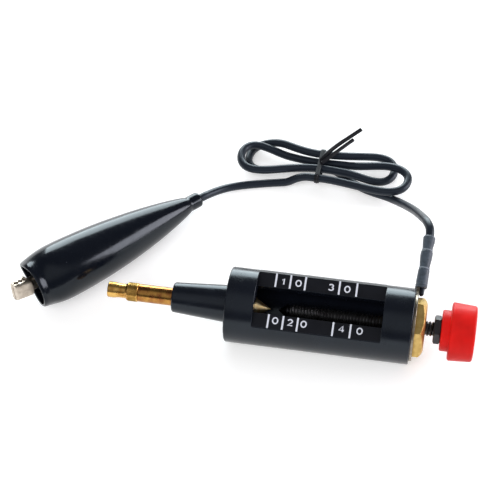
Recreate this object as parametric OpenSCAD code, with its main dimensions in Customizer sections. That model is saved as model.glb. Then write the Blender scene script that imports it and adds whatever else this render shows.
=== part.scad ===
// Adjustable spark-gap ignition tester. A screw moves one point away from a fixed one inside a windowed barrel,
// and a lead with a clip earths the barrel's far end. Millimetres. X runs along the barrel from the coil
// terminal to the knob, Z is up, and the barrel, the boot and the lead lie on z = 0.

/* [Barrel] */
// Outer diameter of the barrel
barrel_d = 30; // [29.6:0.2:30.4]
// Length of the barrel from the nozzle's root to the lug
barrel_l = 72.8; // [72:0.2:74]
// Diameter of the bore behind the window
bore_d = 16; // [15.8:0.1:16.2]
// Thickness of the wall that closes the barrel's left end
end_wall = 9; // [8:0.5:10]
// Length of the nozzle
nozzle_l = 22.5; // [21.5:0.5:23.5]
// Diameter at the nozzle's open end
nozzle_tip_d = 11.9; // [11.5:0.1:12.3]
// Diameter at the nozzle's root
nozzle_root_d = 15.1; // [14.6:0.1:15.6]

/* [Window] */
// Length of the flat and its slot
window_l = 50; // [48:0.5:51]
// Distance of the window's left end from the barrel's left end
window_from = 11.3; // [11:0.1:12]
// Height of the flat above the barrel's axis
flat_h = 9.4; // [9.2:0.1:9.6]
// Width of the slot through the flat
slot_w = 11.1; // [10.8:0.1:11.3]
// How far the window is rolled towards the front, in degrees
window_roll = 21; // [15:1:25]
// Thickness of a scale strip
label_t = 0.2; // [0.15:0.05:0.25]

/* [Terminal] */
// Length of the turned coil terminal
terminal_l = 12.4; // [12:0.1:13]
// Diameter of the terminal's outer cylinder
terminal_d = 6.3; // [6.1:0.1:6.5]
// Diameter of the terminal's waist
waist_d = 5.7; // [5.4:0.1:5.9]
// Diameter of the terminal's collar
terminal_collar_d = 7.5; // [7.4:0.1:7.8]
// Diameter of the brass rod
rod_d = 7.2; // [7:0.1:7.3]
// Length of rod that shows between the terminal and the nozzle
rod_l = 13.9; // [13:0.1:15]

/* [Screw] */
// Diameter of the spindle
spindle_d = 6; // [5.8:0.1:6.2]
// Width of the flange across its flats
flange_af = 21.2; // [20.6:0.1:21.8]
// Thickness of the flange
flange_t = 4; // [3.8:0.1:4.4]
// Thickness of the ring lug
lug_t = 1.1; // [1:0.1:1.3]
// Length of spindle that shows between the flange and the jam nut at rest
neck_l = 3.3; // [3.1:0.1:3.6]
// Width of the jam nut across its flats
jam_af = 10; // [9.6:0.1:10.4]
// Thickness of the jam nut
jam_t = 2.8; // [2.6:0.1:3]

/* [Knob] */
// Diameter of the knob at its inner face
knob_d = 23.1; // [22.4:0.1:23.6]
// Diameter of the knob at its outer face
knob_end_d = 21.9; // [21.4:0.1:22.2]
// Length of the knob
knob_l = 9.8; // [9.4:0.1:10.4]
// Diameter of the knob's collar
knob_collar_d = 16.2; // [15.6:0.1:16.8]
// Length of the knob's collar
knob_collar_l = 3.4; // [3:0.1:3.8]

/* [Lead] */
// Diameter of the lead
lead_d = 3.5; // [3.4:0.05:3.55]
// Direction of the lug's tongue above the horizontal, in degrees
lug_turn = 25; // [24.5:0.5:25.5]

/* [Boot and clip] */
// Length of the boot
boot_l = 89; // [88:0.5:90]
// Largest diameter of the boot
boot_d = 24.3; // [24:0.1:24.3]
// Diameter of the boot's mouth
boot_mouth_d = 19.5; // [19:0.1:20]
// Thickness of the boot's wall
boot_wall = 1.2; // [1:0.1:1.4]
// Width of the clip's jaws
jaw_w = 6.8; // [6.6:0.1:7]
// Thickness of the jaws' sheet steel
jaw_t = 0.8; // [0.7:0.05:0.85]

/* [Hidden] */
$fn = 64;
// Small distance that lets a cutter run past the face it cuts
past = 1;
// Radial clearance of a pressed or seated fit, and of a running one
seat = 0.02;
running = 0.05;
// Gap between parts that move past each other
clear = 0.3;
// Broken edge of a turned or moulded part
edge = 0.4;

// Stations along the barrel's axis, from the terminal's tip to the knob's end
overall = terminal_l + rod_l + nozzle_l + barrel_l + lug_t + flange_t + neck_l + jam_t + knob_collar_l + knob_l;
axis_z = barrel_d / 2;
x_tip = -overall / 2;
x_rod = x_tip + terminal_l;
x_nozzle = x_rod + rod_l;
x_barrel = x_nozzle + nozzle_l;
x_lug = x_barrel + barrel_l;
x_flange = x_lug + lug_t;
x_neck = x_flange + flange_t;
x_jam = x_neck + neck_l;
x_collar = x_jam + jam_t;
x_knob = x_collar + knob_collar_l;
x_end = x_knob + knob_l;
x_window = x_barrel + window_from;
x_bore = x_barrel + end_wall;

// Terminal: lengths of its outer cylinder and waist, and the stud that joins it to the rod
cylinder_l = 3.6;
waist_l = 4.1;
stud_d = 4;
stud_l = 12;

// Points: a cone each, with the gap between their tips at rest
cone_base = 1.9;
fixed_cone_l = 6;
fixed_cone_d = 7.5;
fixed_stud_d = 3;
fixed_stud_l = 4;
tip_r = 0.2;
rest_gap = 3;
moving_cone_l = 4;
shank_d = 3;
shank_l = 7.8;
x_zero = x_bore + cone_base + fixed_cone_l;
x_point = x_zero + rest_gap;
x_spindle = x_point + moving_cone_l + clear;

// Brass plug inside the barrel, and the insert inside the knob
plug_l = 10;
lug_hole_d = bore_d + clear;
lug_d = 27;
hex_turn = -6;
// The flange's outer face: how far its corners are turned down, and the circle that is left
flange_crown_l = 1.9;
flange_crown_d = flange_af - 4.4;
insert_d = 9;
insert_l = 11.2;
spindle_in = 10.2;

// Scale strips: their inner edge's distance from the slot, and their width
label_gap = 0.2;
label_w = 5.8;

// Lug: the tongue's reach and width, the crimp that grips the wire, and its axis
tongue_from = 12;
tongue_w = 4.2;
crimp_from = 16.4;
crimp_to = 24;
crimp_d = 3.9;
crimp_bore_d = 2;
crimp_bore_l = 5;
x_crimp = x_flange + 0.5;
sleeve_clear = 0.1;
// How far the crimp and its sleeves lean towards the knob
crimp_lean = 2.6;
// Each sleeve's start, end and outer diameter, measured from the barrel's axis along the tongue
sleeve_low = [16.6, 24.1, 4.7];
sleeve_mid = [24.1, 31.8, 4.95];
sleeve_top = [31.8, 38, 4.5];

// Route of the lead. The points were chosen with the flange's inner face at route_x.
route_x = 49.7;
rise_route = [[50.55, 22, 25.25], [50.85, 28, 28.05], [51.2, 34.4, 31.05], [50.9, 37.8, 32.1], [49.5, 42.2, 31.2],
    [47.4, 48.8, 27.2], [44.8, 57.6, 21], [41.6, 66.4, 14.6], [38.1, 74.6, 8.4], [34.7, 79.8, 4.9], [31.4, 82.9, 3.2],
    [28.2, 84.8, 2.3], [25, 86.2, 1.85], [21.8, 87.4, 1.75], [18.4, 89, 1.75], [14.5, 91.4, 1.75], [10, 94.6, 1.9],
    [6.7, 96.3, 2.5], [4.6, 96.6, 2.75], [3.5, 96.6, 2.75]];
run_route = [[-3.5, 86.7, 6.35], [-4.7, 86.7, 6.35], [-7, 86.6, 5.9], [-9.9, 86.4, 4.6], [-13.2, 86.1, 2.6],
    [-16.8, 85.8, 1.85], [-20.6, 85, 1.75], [-24.6, 83.9, 1.75], [-28.4, 82.8, 1.75], [-32.2, 81.5, 1.8],
    [-35.8, 79.8, 2.1], [-39.3, 77.3, 2.8], [-42.6, 74, 3.8], [-45.7, 70, 5]];

// Hank: two loops on each side of the tie. Each strand at the waist has a y and a z.
hank_y = 94.5;
waist = [[2.1, 2.75], [7.7, 6.35], [-1.7, 6.35], [6.1, 2.75], [-7.8, 6.35]];
// Each half loop's side, reach, bulge going out and coming back, tip shift, tip height, and the stretches of
// its reach over which it changes height going out and coming back
half_loops = [[-1, 32.6, 14.7, 18.2, 0.3, 1.8, 0.5, 0.5], [1, 32.4, 14.7, 12.4, 2.3, 2.9, 0, 0.35],
    [-1, 35.3, 16.9, 14.3, -1.2, 7.1, 0.1, 0.4], [1, 39.1, 7, 14.8, -3.3, 8, 0.3, 0.2]];
half_steps = 12;
hank_end = 3.5;

// Tie: strap thickness and width, and the routes of its two free ends
tie_t = 0.6;
tie_w = 2.2;
tie_end_d = 1.5;
tie_long = [[0, 95.5, 8.7], [2, 98, 10.4], [6, 103, 11.6], [11, 108.2, 12.8], [15.8, 113, 14]];
tie_short = [[0.7, 94, 8.7], [4, 96.6, 10.2], [8, 101, 11.2], [13.2, 106.6, 12.2]];

// Boot: where its tail's centre lies and how its axis points, and the stations of its outline
boot_tail = [-49.1, 65.4, 6];
boot_yaw = 231.2;
boot_pitch = 5.7;
neck_end = 6;
boot_neck_d = 6.6;
boot_widest = 75;
boot_steps = 14;
lip_steps = 5;
fullness = 0.8;

// Clip: the pivot's station along the boot, its roll about the boot's axis, and the jaws' side outline
pivot_s = 72;
clip_roll = -63;
jaw_reach = 26;
jaw_back = 20;
jaw_h = 3.5;
teeth_from = 11;
tooth = 2;
tooth_h = 0.9;
pin_d = 2;
pin_head_d = 3.4;
pin_head_t = 0.5;
screw_x = -12.5;
screw_d = 2.5;
screw_head_d = 4.4;

function unit(v) = v / norm(v);
route_shift = [x_flange - route_x, 0, 0];
function moved(points) = [for (p = points) p + route_shift];

// A smooth step from 0 at a to 1 at b
function step(a, b, s) = let (t = min(max((s - a) / (b - a), 0), 1)) t * t * (3 - 2 * t);

// A point of the hank: half loop k, at t from 0 at the waist to 1 at the waist again
function hank_point(k, t) =
    let (h = half_loops[k], from = waist[k], to = waist[k + 1], s = sin(180 * t), c = cos(180 * t))
    let (bulge = t < 0.5 ? h[2] : h[3], mid = (from[0] + to[0]) / 2, half = (from[0] - to[0]) / 2)
    let (climb = t < 0.5 ? step(h[6], 1, s) : step(h[7], 1, s), base = t < 0.5 ? from[1] : to[1])
    [h[0] * h[1] * s, hank_y + mid + c * (half + sign(half) * bulge * s * s) + h[4] * s * s,
        base + (h[5] - base) * climb];
hank_loops = [for (k = [0:3], i = [0:half_steps - 1]) hank_point(k, i / half_steps)];
hank_last = hank_point(3, 1);
hank_route = concat([hank_loops[0] + [hank_end, 0, 0]], hank_loops, [hank_last, hank_last - [hank_end, 0, 0]]);

// The hank's own smallest gap, on points four to a stretch and more than four diameters apart along the lead
between = [0, 0.25, 0.5, 0.75];
hank_fine = [for (i = [0:len(hank_route) - 2], t = between) (1 - t) * hank_route[i] + t * hank_route[i + 1]];
apart = 4 * len(between);
hank_gap = min([for (i = [0:len(hank_fine) - 1], j = [i + apart:1:len(hank_fine) - 1])
    norm(hank_fine[i] - hank_fine[j])]) - lead_d;
echo(hank_gap = hank_gap);

function along(points, i) = unit(points[min(i + 1, len(points) - 1)] - points[max(i - 1, 0)]);
function route_length(points, i = 0) =
    i < len(points) - 1 ? norm(points[i + 1] - points[i]) + route_length(points, i + 1) : 0;

// The boot's outer radius at station s
function boot_r(s) = s < neck_end ? boot_neck_d / 2
    : s < boot_widest ? boot_neck_d / 2 + (boot_d - boot_neck_d) / 2
        * pow(sin(90 * (s - neck_end) / (boot_widest - neck_end)), fullness)
    : boot_mouth_d / 2 + (boot_d - boot_mouth_d) / 2 * cos(90 * (s - boot_widest) / (boot_l - boot_widest));
boot_dir = [cos(boot_yaw) * cos(boot_pitch), sin(boot_yaw) * cos(boot_pitch), sin(boot_pitch)];
function boot_point(s) = boot_tail + s * boot_dir;
lead_end = pivot_s - jaw_back + 3;
run_points = concat(moved(run_route), [for (s = [-3.5, 0, 9, 18, 27, 36, 45, lead_end]) boot_point(s)]);
echo(lead_length = route_length(rise_route) + route_length(hank_route) + route_length(run_points));

// A solid turned about X, from [x, radius] points
module spun(points) {
    rotate([0, 90, 0]) rotate_extrude() polygon([for (p = points) [p[1], p[0]]]);
}

module turned(points) {
    translate([0, 0, axis_z]) spun(points);
}

// A plain shaft about the barrel's axis
module shaft(from, to, d) {
    translate([from, 0, axis_z]) rotate([0, 90, 0]) cylinder(d = d, h = to - from);
}

// A hexagon bar about the barrel's axis, its corners turned down at both ends, or more at its far end
module hexagon(from, to, af, turn, crown_l = 0, crown_d = 0) {
    corner = af / 2 / cos(30);
    cut = corner - af / 2 * 0.98;
    far_l = crown_l > 0 ? crown_l : cut / 2;
    far_r = crown_l > 0 ? crown_d / 2 : corner - cut;
    intersection() {
        translate([from, 0, axis_z]) rotate([turn, 0, 0]) rotate([0, 90, 0]) cylinder(r = corner, h = to - from, $fn = 6);
        turned([[from, 0], [from, corner - cut], [from + cut / 2, corner + past / 10],
            [to - far_l, corner + past / 10], [to, far_r], [to, 0]]);
    }
}

// A tube swept along points, with flat ends square to its first and last stretch
module swept(points, r, sides) {
    n = len(points);
    rings = [for (i = [0:n - 1]) let (t = along(points, i), side = unit(cross(t, [0, 0, 1])), up = cross(side, t))
        for (k = [0:sides - 1]) let (a = 360 * k / sides) points[i] + r * (cos(a) * side + sin(a) * up)];
    walls = [for (i = [0:n - 2], k = [0:sides - 1]) let (m = (k + 1) % sides)
        [i * sides + k, i * sides + m, (i + 1) * sides + m, (i + 1) * sides + k]];
    polyhedron(rings, concat([[for (k = [sides - 1:-1:0]) k]], walls, [[for (k = [0:sides - 1]) (n - 1) * sides + k]]));
}

module at_lug() {
    translate([x_crimp, 0, axis_z]) rotate([lug_turn, 0, 0]) children();
}

// The crimp's own directions, Z along it, with its place still measured from the barrel's axis
module at_crimp() {
    at_lug() translate([0, crimp_from, 0]) rotate([0, 0, -crimp_lean]) translate([0, -crimp_from, 0])
        rotate([-90, 0, 0]) children();
}

module at_window() {
    translate([x_window, 0, axis_z]) rotate([window_roll, 0, 0]) children();
}

module at_boot() {
    translate(boot_tail) rotate([0, -boot_pitch, boot_yaw]) children();
}

module at_clip() {
    at_boot() translate([pivot_s, 0, 0]) rotate([clip_roll, 0, 0]) children();
}

// A sheet of side outline points, between two places across the clip
module sheet(points, from, to) {
    translate([0, to, 0]) rotate([90, 0, 0]) linear_extrude(to - from) polygon(points);
}

module barrel() {
    r = barrel_d / 2;
    nose = nozzle_tip_d / 2;
    round_r = 1;
    color("#1c1f26") difference() {
        turned(concat([[x_nozzle, 0]],
            [for (a = [0:15:90]) [x_nozzle + round_r * (1 - cos(a)), nose - round_r * (1 - sin(a))]],
            [[x_barrel, nozzle_root_d / 2], [x_barrel, r - edge], [x_barrel + edge, r], [x_lug - edge, r],
            [x_lug, r - edge], [x_lug, 0]]));
        shaft(x_nozzle - past, x_bore + past, rod_d + 2 * seat);
        shaft(x_bore, x_lug + past, bore_d);
        at_window() translate([0, -barrel_d, flat_h]) cube([window_l, 2 * barrel_d, barrel_d]);
        at_window() translate([0, -slot_w / 2, 0]) cube([window_l, slot_w, barrel_d]);
    }
}

module label(y) {
    color("#14161b") at_window() translate([0, y, flat_h]) cube([window_l, label_w, label_t]);
}

module label_upper() {
    label(slot_w / 2 + label_gap);
}

module label_lower() {
    label(-slot_w / 2 - label_gap - label_w);
}

module terminal_nut() {
    r = terminal_d / 2;
    waist_x = x_tip + cylinder_l;
    collar_x = waist_x + waist_l;
    blend = 0.8;
    color("#c9993c") difference() {
        turned([[x_tip, 0], [x_tip, r - edge / 2], [x_tip + edge / 2, r], [waist_x - blend, r],
            [waist_x, waist_d / 2], [collar_x - blend, waist_d / 2], [collar_x, terminal_collar_d / 2 - edge / 2],
            [collar_x + edge / 2, terminal_collar_d / 2], [x_rod - edge / 2, terminal_collar_d / 2],
            [x_rod, terminal_collar_d / 2 - edge / 2], [x_rod, 0]]);
        shaft(x_rod - stud_l / 2, x_rod + past, stud_d + 2 * seat);
    }
}

module terminal_stud() {
    color("#c0a060") shaft(x_rod - stud_l / 2 + edge / 2, x_rod + stud_l / 2 - edge / 2, stud_d);
}

module terminal_rod() {
    color("#b9822c") difference() {
        turned([[x_rod, 0], [x_rod, rod_d / 2 - edge / 2], [x_rod + edge / 2, rod_d / 2], [x_bore, rod_d / 2],
            [x_bore, 0]]);
        shaft(x_rod - past, x_rod + stud_l / 2, stud_d + 2 * seat);
        shaft(x_bore - fixed_stud_l - edge, x_bore + past, fixed_stud_d + 2 * seat);
    }
}

module fixed_point() {
    r = fixed_cone_d / 2;
    color("#c9993c") union() {
        turned([[x_bore, 0], [x_bore, r - edge / 2], [x_bore + edge / 2, r], [x_bore + cone_base, r],
            [x_zero - tip_r, tip_r], [x_zero, 0]]);
        shaft(x_bore - fixed_stud_l, x_bore + edge / 2, fixed_stud_d);
    }
}

module end_plug() {
    r = bore_d / 2 - seat;
    from = x_flange - lug_t - plug_l;
    color("#c9a24a") difference() {
        union() {
            turned([[from, 0], [from, r - edge], [from + edge, r], [x_flange, r], [x_flange, 0]]);
            hexagon(x_flange, x_neck, flange_af, hex_turn, flange_crown_l, flange_crown_d);
        }
        shaft(from - past, x_neck + past, spindle_d + 2 * running);
    }
}

module ring_lug() {
    color("#c4c6ca") union() {
        difference() {
            shaft(x_lug, x_flange, lug_d);
            shaft(x_lug - past, x_flange + past, lug_hole_d);
        }
        at_lug() translate([x_lug - x_crimp, tongue_from, -tongue_w / 2])
            cube([lug_t, crimp_from + edge / 4 - tongue_from, tongue_w]);
        at_crimp() difference() {
            translate([0, 0, crimp_from]) cylinder(d = crimp_d, h = crimp_to - crimp_from);
            translate([0, 0, crimp_to - crimp_bore_l]) cylinder(d = crimp_bore_d, h = crimp_bore_l + past);
        }
    }
}

module sleeve(ends, bore) {
    color("#33363b") at_crimp() difference() {
        translate([0, 0, ends[0]]) cylinder(d = ends[2], h = ends[1] - ends[0]);
        translate([0, 0, ends[0] - past]) cylinder(d = bore, h = ends[1] - ends[0] + 2 * past);
    }
}

module sleeve_lower() {
    sleeve(sleeve_low, crimp_d + 2 * seat);
}

module sleeve_middle() {
    sleeve(sleeve_mid, lead_d + 2 * sleeve_clear);
}

module sleeve_upper() {
    sleeve(sleeve_top, lead_d + 2 * sleeve_clear);
}

module moving_point() {
    r = spindle_d / 2;
    base = x_point + moving_cone_l;
    color("#3c3d42") union() {
        turned([[x_point, 0], [x_point + tip_r, tip_r], [base - edge, r], [base, r], [base, 0]]);
        shaft(base - edge, base + shank_l, shank_d);
    }
}

module spindle() {
    r = spindle_d / 2;
    to = x_collar + spindle_in;
    color("#26272b") difference() {
        turned([[x_spindle, 0], [x_spindle, r - edge], [x_spindle + edge, r], [to - edge, r], [to, r - edge], [to, 0]]);
        shaft(x_spindle - past, x_spindle + shank_l, shank_d + 2 * running);
    }
}

module jam_nut() {
    color("#17181b") difference() {
        hexagon(x_jam, x_collar, jam_af, 0);
        shaft(x_jam - past, x_collar + past, spindle_d + 2 * seat);
    }
}

module knob() {
    r = knob_d / 2;
    end_r = knob_end_d / 2;
    fillet = 1;
    color("#d7261e") difference() {
        turned(concat([[x_collar, 0], [x_collar, knob_collar_d / 2 - edge], [x_collar + edge, knob_collar_d / 2],
            [x_knob, knob_collar_d / 2], [x_knob, r - edge], [x_knob + edge, r]],
            [for (a = [0:15:90]) [x_end - fillet * (1 - sin(a)), end_r - fillet * (1 - cos(a))]], [[x_end, 0]]));
        shaft(x_collar - past, x_collar + insert_l, insert_d + 2 * seat);
    }
}

module knob_insert() {
    color("#c9993c") difference() {
        shaft(x_collar, x_collar + insert_l, insert_d);
        shaft(x_collar - past, x_collar + insert_l + past, spindle_d + 2 * seat);
    }
}

module lead_rise() {
    color("#15171c") swept(moved(rise_route), lead_d / 2, 8);
}

module lead_hank() {
    color("#15171c") swept(moved(hank_route), lead_d / 2, 6);
}

module lead_run() {
    color("#15171c") swept(run_points, lead_d / 2, 8);
}

// The outline round the hank's strands at the waist, grown by a margin
module waist_outline(margin) {
    hull() for (w = waist) translate([hank_y + w[0], w[1]]) circle(d = lead_d + 2 * margin, $fn = 24);
}

module twist_tie() {
    fit = 0.1;
    color("#202226") union() {
        translate(route_shift - [tie_w / 2, 0, 0]) rotate([90, 0, 90]) linear_extrude(tie_w) difference() {
            waist_outline(fit + tie_t);
            waist_outline(fit);
        }
        swept(moved(tie_long), tie_end_d / 2, 6);
        swept(moved(tie_short), tie_end_d / 2, 6);
    }
}

module boot() {
    outer = concat([[0, boot_neck_d / 2]],
        [for (i = [0:boot_steps]) let (s = neck_end + (boot_widest - neck_end) * i / boot_steps) [s, boot_r(s)]],
        [for (i = [1:lip_steps]) let (s = boot_widest + (boot_l - boot_widest) * i / lip_steps) [s, boot_r(s)]]);
    inner = [for (i = [len(outer) - 1:-1:2]) outer[i] - [0, boot_wall]];
    bore = lead_d / 2 + sleeve_clear;
    color("#0d0f13") at_boot() spun(concat([[0, bore]], outer, inner, [[inner[len(inner) - 1][0] - 2, bore]]));
}

// The jaw's toothed edge, from the pivot's end to the tip
function teeth(z, depth) = [for (x = [teeth_from:tooth:jaw_reach - tooth]) each [[x, z], [x + tooth / 2, z + depth]]];
function reversed(v) = [for (i = [len(v) - 1:-1:0]) v[i]];

module lower_jaw() {
    half = jaw_w / 2;
    gap = clear / 2;
    shell = [[-jaw_back, -jaw_h], [jaw_reach - 2.8, -jaw_h], [jaw_reach, -1.6], [jaw_reach, -gap],
        [jaw_reach - jaw_t, -gap], [jaw_reach - jaw_t, -1.2], [jaw_reach - 3, jaw_t - jaw_h], [-jaw_back, jaw_t - jaw_h]];
    wall = concat([[-14, -jaw_h], [jaw_reach - 2.8, -jaw_h], [jaw_reach - 0.4, -1.8], [jaw_reach - 0.4, -gap]],
        reversed(teeth(-gap, -tooth_h)),
        [[6, -gap], [1.6, 1.9], [-1.6, 1.9], [-4, -0.5], [-14, -1.8]]);
    crimp_x = -jaw_back;
    crimp_l = 5;
    bore = lead_d + 2 * sleeve_clear;
    color("#c8bfae") at_clip() difference() {
        union() {
            sheet(shell, -half, half);
            sheet(wall, half - jaw_t, half);
            sheet(wall, -half, jaw_t - half);
            translate([crimp_x, 0, 0]) rotate([0, 90, 0]) cylinder(d = bore + 2 * jaw_t, h = crimp_l);
            translate([crimp_x, -1.2, -jaw_h]) cube([crimp_l, 2.4, jaw_h - bore / 2]);
        }
        translate([crimp_x - past, 0, 0]) rotate([0, 90, 0]) cylinder(d = bore, h = crimp_l + 2 * past);
        translate([0, half + past, 0]) rotate([90, 0, 0]) cylinder(d = pin_d + 2 * seat, h = jaw_w + 2 * past);
        translate([screw_x, 0, -jaw_h - past]) cylinder(d = screw_d + 2 * seat, h = jaw_t + 2 * past);
    }
}

module upper_jaw() {
    half = jaw_w / 2;
    ear = half - jaw_t - clear;
    gap = clear / 2;
    shell = [[1 - jaw_back, 6.9], [1 - jaw_back, 7.7], [-6, 3.9], [-4, jaw_h], [jaw_reach - 2.8, jaw_h], [jaw_reach, 1.6],
        [jaw_reach, gap], [jaw_reach - jaw_t, gap], [jaw_reach - jaw_t, 1.2], [jaw_reach - 3, jaw_h - jaw_t],
        [-4, jaw_h - jaw_t], [-6, 3.1]];
    wall = concat([[7, jaw_h]], [[7, gap]], teeth(gap, tooth_h),
        [[jaw_reach - 0.4, gap], [jaw_reach - 0.4, 1.8], [jaw_reach - 2.8, jaw_h]]);
    ears = [[-4, 3], [-2.6, -1], [-1.2, -2.2], [1.2, -2.2], [2.6, -1], [5, 3]];
    color("#cfc6b4") at_clip() difference() {
        union() {
            sheet(shell, -half, half);
            sheet(wall, half - jaw_t, half);
            sheet(wall, -half, jaw_t - half);
            sheet(ears, ear - jaw_t, ear);
            sheet(ears, -ear, jaw_t - ear);
        }
        translate([0, half + past, 0]) rotate([90, 0, 0]) cylinder(d = pin_d + 2 * running, h = jaw_w + 2 * past);
    }
}

module pivot_pin() {
    half = jaw_w / 2;
    color("#9a9da2") at_clip() rotate([90, 0, 0]) union() {
        translate([0, 0, -half - pin_head_t]) cylinder(d = pin_d, h = jaw_w + 2 * pin_head_t);
        translate([0, 0, half]) cylinder(d = pin_head_d, h = pin_head_t);
        translate([0, 0, -half - pin_head_t]) cylinder(d = pin_head_d, h = pin_head_t);
    }
}

// The spring's coil and two legs, in the clip's own directions
module jaw_spring() {
    coil_r = 1.75;
    wire_r = 0.3;
    turns = 3;
    steps = 14;
    pitch = 0.72;
    total = turns * steps;
    coil = [for (i = [0:total]) let (a = 270 + 360 * i / steps)
        [coil_r * cos(a), pitch * (i / steps - turns / 2), coil_r * sin(a)]];
    first = concat([[-9.5, -turns * pitch / 2, -2.2], [-5, -turns * pitch / 2, -1.95]], coil);
    color("#8e9196") at_clip() rotate([90, 0, 0]) swept([for (p = first) [p[0], p[2], -p[1]]], wire_r, 6);
}

module clip_screw() {
    head_z = jaw_t - jaw_h;
    color("#a9acb1") at_clip() translate([screw_x, 0, 0]) union() {
        translate([0, 0, -jaw_h - 0.6]) cylinder(d = screw_d, h = jaw_t + 0.6);
        translate([0, 0, head_z]) cylinder(d = screw_head_d, h = 1.2);
    }
}

barrel();
terminal_nut();
terminal_stud();
terminal_rod();
fixed_point();
end_plug();
ring_lug();
moving_point();
spindle();
jam_nut();
knob();
knob_insert();
label_upper();
label_lower();
sleeve_lower();
sleeve_middle();
sleeve_upper();
lead_rise();
lead_hank();
lead_run();
twist_tie();
boot();
lower_jaw();
upper_jaw();
pivot_pin();
jaw_spring();
clip_screw();
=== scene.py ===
"""Dresses the adjustable spark-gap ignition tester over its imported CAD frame, and lights it as in the photograph."""

import logging
import math
from collections.abc import Callable, Iterable, Sequence
from dataclasses import dataclass, field
from enum import Enum
from typing import ClassVar

import bmesh
import bpy
from mathutils import Matrix, Vector, geometry, noise


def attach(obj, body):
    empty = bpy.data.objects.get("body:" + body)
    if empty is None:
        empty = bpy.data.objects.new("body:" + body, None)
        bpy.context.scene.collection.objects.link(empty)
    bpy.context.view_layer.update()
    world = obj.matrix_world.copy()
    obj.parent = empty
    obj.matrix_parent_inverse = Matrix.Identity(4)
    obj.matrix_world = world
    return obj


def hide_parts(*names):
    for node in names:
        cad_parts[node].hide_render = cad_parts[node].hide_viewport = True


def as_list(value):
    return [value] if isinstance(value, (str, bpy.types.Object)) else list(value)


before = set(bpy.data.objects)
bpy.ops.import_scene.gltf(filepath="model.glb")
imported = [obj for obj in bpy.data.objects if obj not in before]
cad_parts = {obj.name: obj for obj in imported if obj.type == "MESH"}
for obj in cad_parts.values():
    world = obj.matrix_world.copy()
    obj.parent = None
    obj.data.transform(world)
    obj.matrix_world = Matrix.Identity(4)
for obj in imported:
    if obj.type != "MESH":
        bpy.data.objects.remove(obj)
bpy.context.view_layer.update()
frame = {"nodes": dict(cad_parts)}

LOG = logging.getLogger("ignition_tester")
MM = 0.001
X, Z = Vector((1, 0, 0)), Vector((0, 0, 1))
Pair = tuple[float, float]
Triple = tuple[float, float, float]
Colour = tuple[float, float, float]
Outline = Callable[[float], Sequence[Pair]]
Socket = bpy.types.NodeSocket
Object = bpy.types.Object
Mesh = bpy.types.Mesh


class Body(Enum):
    """The resting and moving bodies that the pieces ride on."""

    HOUSING = "housing"
    CARRIER = "point_carrier"
    SCREW = "screw"
    JAW = "moving_jaw"


# ---- Shapes ----


@dataclass
class Shape:
    """Points in millimetres and the faces between them, gathered before they become a mesh."""

    points: list[Vector] = field(default_factory=list)
    faces: list[tuple[int, ...]] = field(default_factory=list)

    def row(self, points: Iterable[Vector]) -> list[int]:
        """Adds points.

        Args:
            points: The new points.

        Returns:
            Their numbers in the shape.
        """
        first = len(self.points)
        self.points.extend(points)
        return list(range(first, len(self.points)))

    def skin(self, rows: Sequence[list[int]], closed: bool = True, loop: bool = False) -> "Shape":
        """Lays faces between rows of points, and leaves out those that shrink to a line.

        Args:
            rows: Rows of points' numbers, all of one length.
            closed: Whether each row closes on itself.
            loop: Whether the last row joins the first.

        Returns:
            This shape.
        """
        for a, b in [*zip(rows, rows[1:]), *([(rows[-1], rows[0])] if loop else [])]:
            for k in range(len(a) if closed else len(a) - 1):
                m = (k + 1) % len(a)
                face = tuple(dict.fromkeys((a[k], b[k], b[m], a[m])))
                if len(face) > 2:
                    self.faces.append(face)
        return self

    def join(self, other: "Shape") -> "Shape":
        """Adds another shape.

        Args:
            other: The shape that is added.

        Returns:
            This shape.
        """
        first = len(self.points)
        self.points.extend(other.points)
        self.faces.extend(tuple(first + i for i in face) for face in other.faces)
        return self

    def put(self, place: Matrix) -> "Shape":
        """Moves the shape by a matrix in millimetres and returns it."""
        self.points = [place @ p for p in self.points]
        return self


def moved(x: float, y: float = 0.0, z: float = 0.0) -> Matrix:
    """A move in millimetres."""
    return Matrix.Translation((x, y, z))


def turned(degrees: float, axis: str) -> Matrix:
    """A turn about one axis."""
    return Matrix.Rotation(math.radians(degrees), 4, axis)


def about_x(x: float, radius: float, angle: float) -> Vector:
    """A point at a radius from the X axis, by its angle from Z."""
    return Vector((x, radius * math.sin(angle), radius * math.cos(angle)))


def circle(radius: float, sides: int) -> list[Pair]:
    """The points of a circle."""
    return [(radius * math.cos(math.tau * k / sides), radius * math.sin(math.tau * k / sides)) for k in range(sides)]


def arc(centre: Pair, size: Pair, start: float, step: float, count: int = 13) -> list[Pair]:
    """Points of an ellipse, from an angle in degrees on in equal steps."""
    angles = (math.radians(start + step * k) for k in range(count))
    return [(centre[0] + size[0] * math.cos(a), centre[1] + size[1] * math.sin(a)) for a in angles]


def bell(value: float, middle: float, width: float) -> float:
    """A smooth hill of height 1."""
    return math.exp(-((value - middle) / width) ** 2)


def step_up(low: float, high: float, value: float) -> float:
    """A smooth step from 0 at low to 1 at high."""
    t = min(max((value - low) / (high - low), 0), 1)
    return t * t * (3 - 2 * t)


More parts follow.
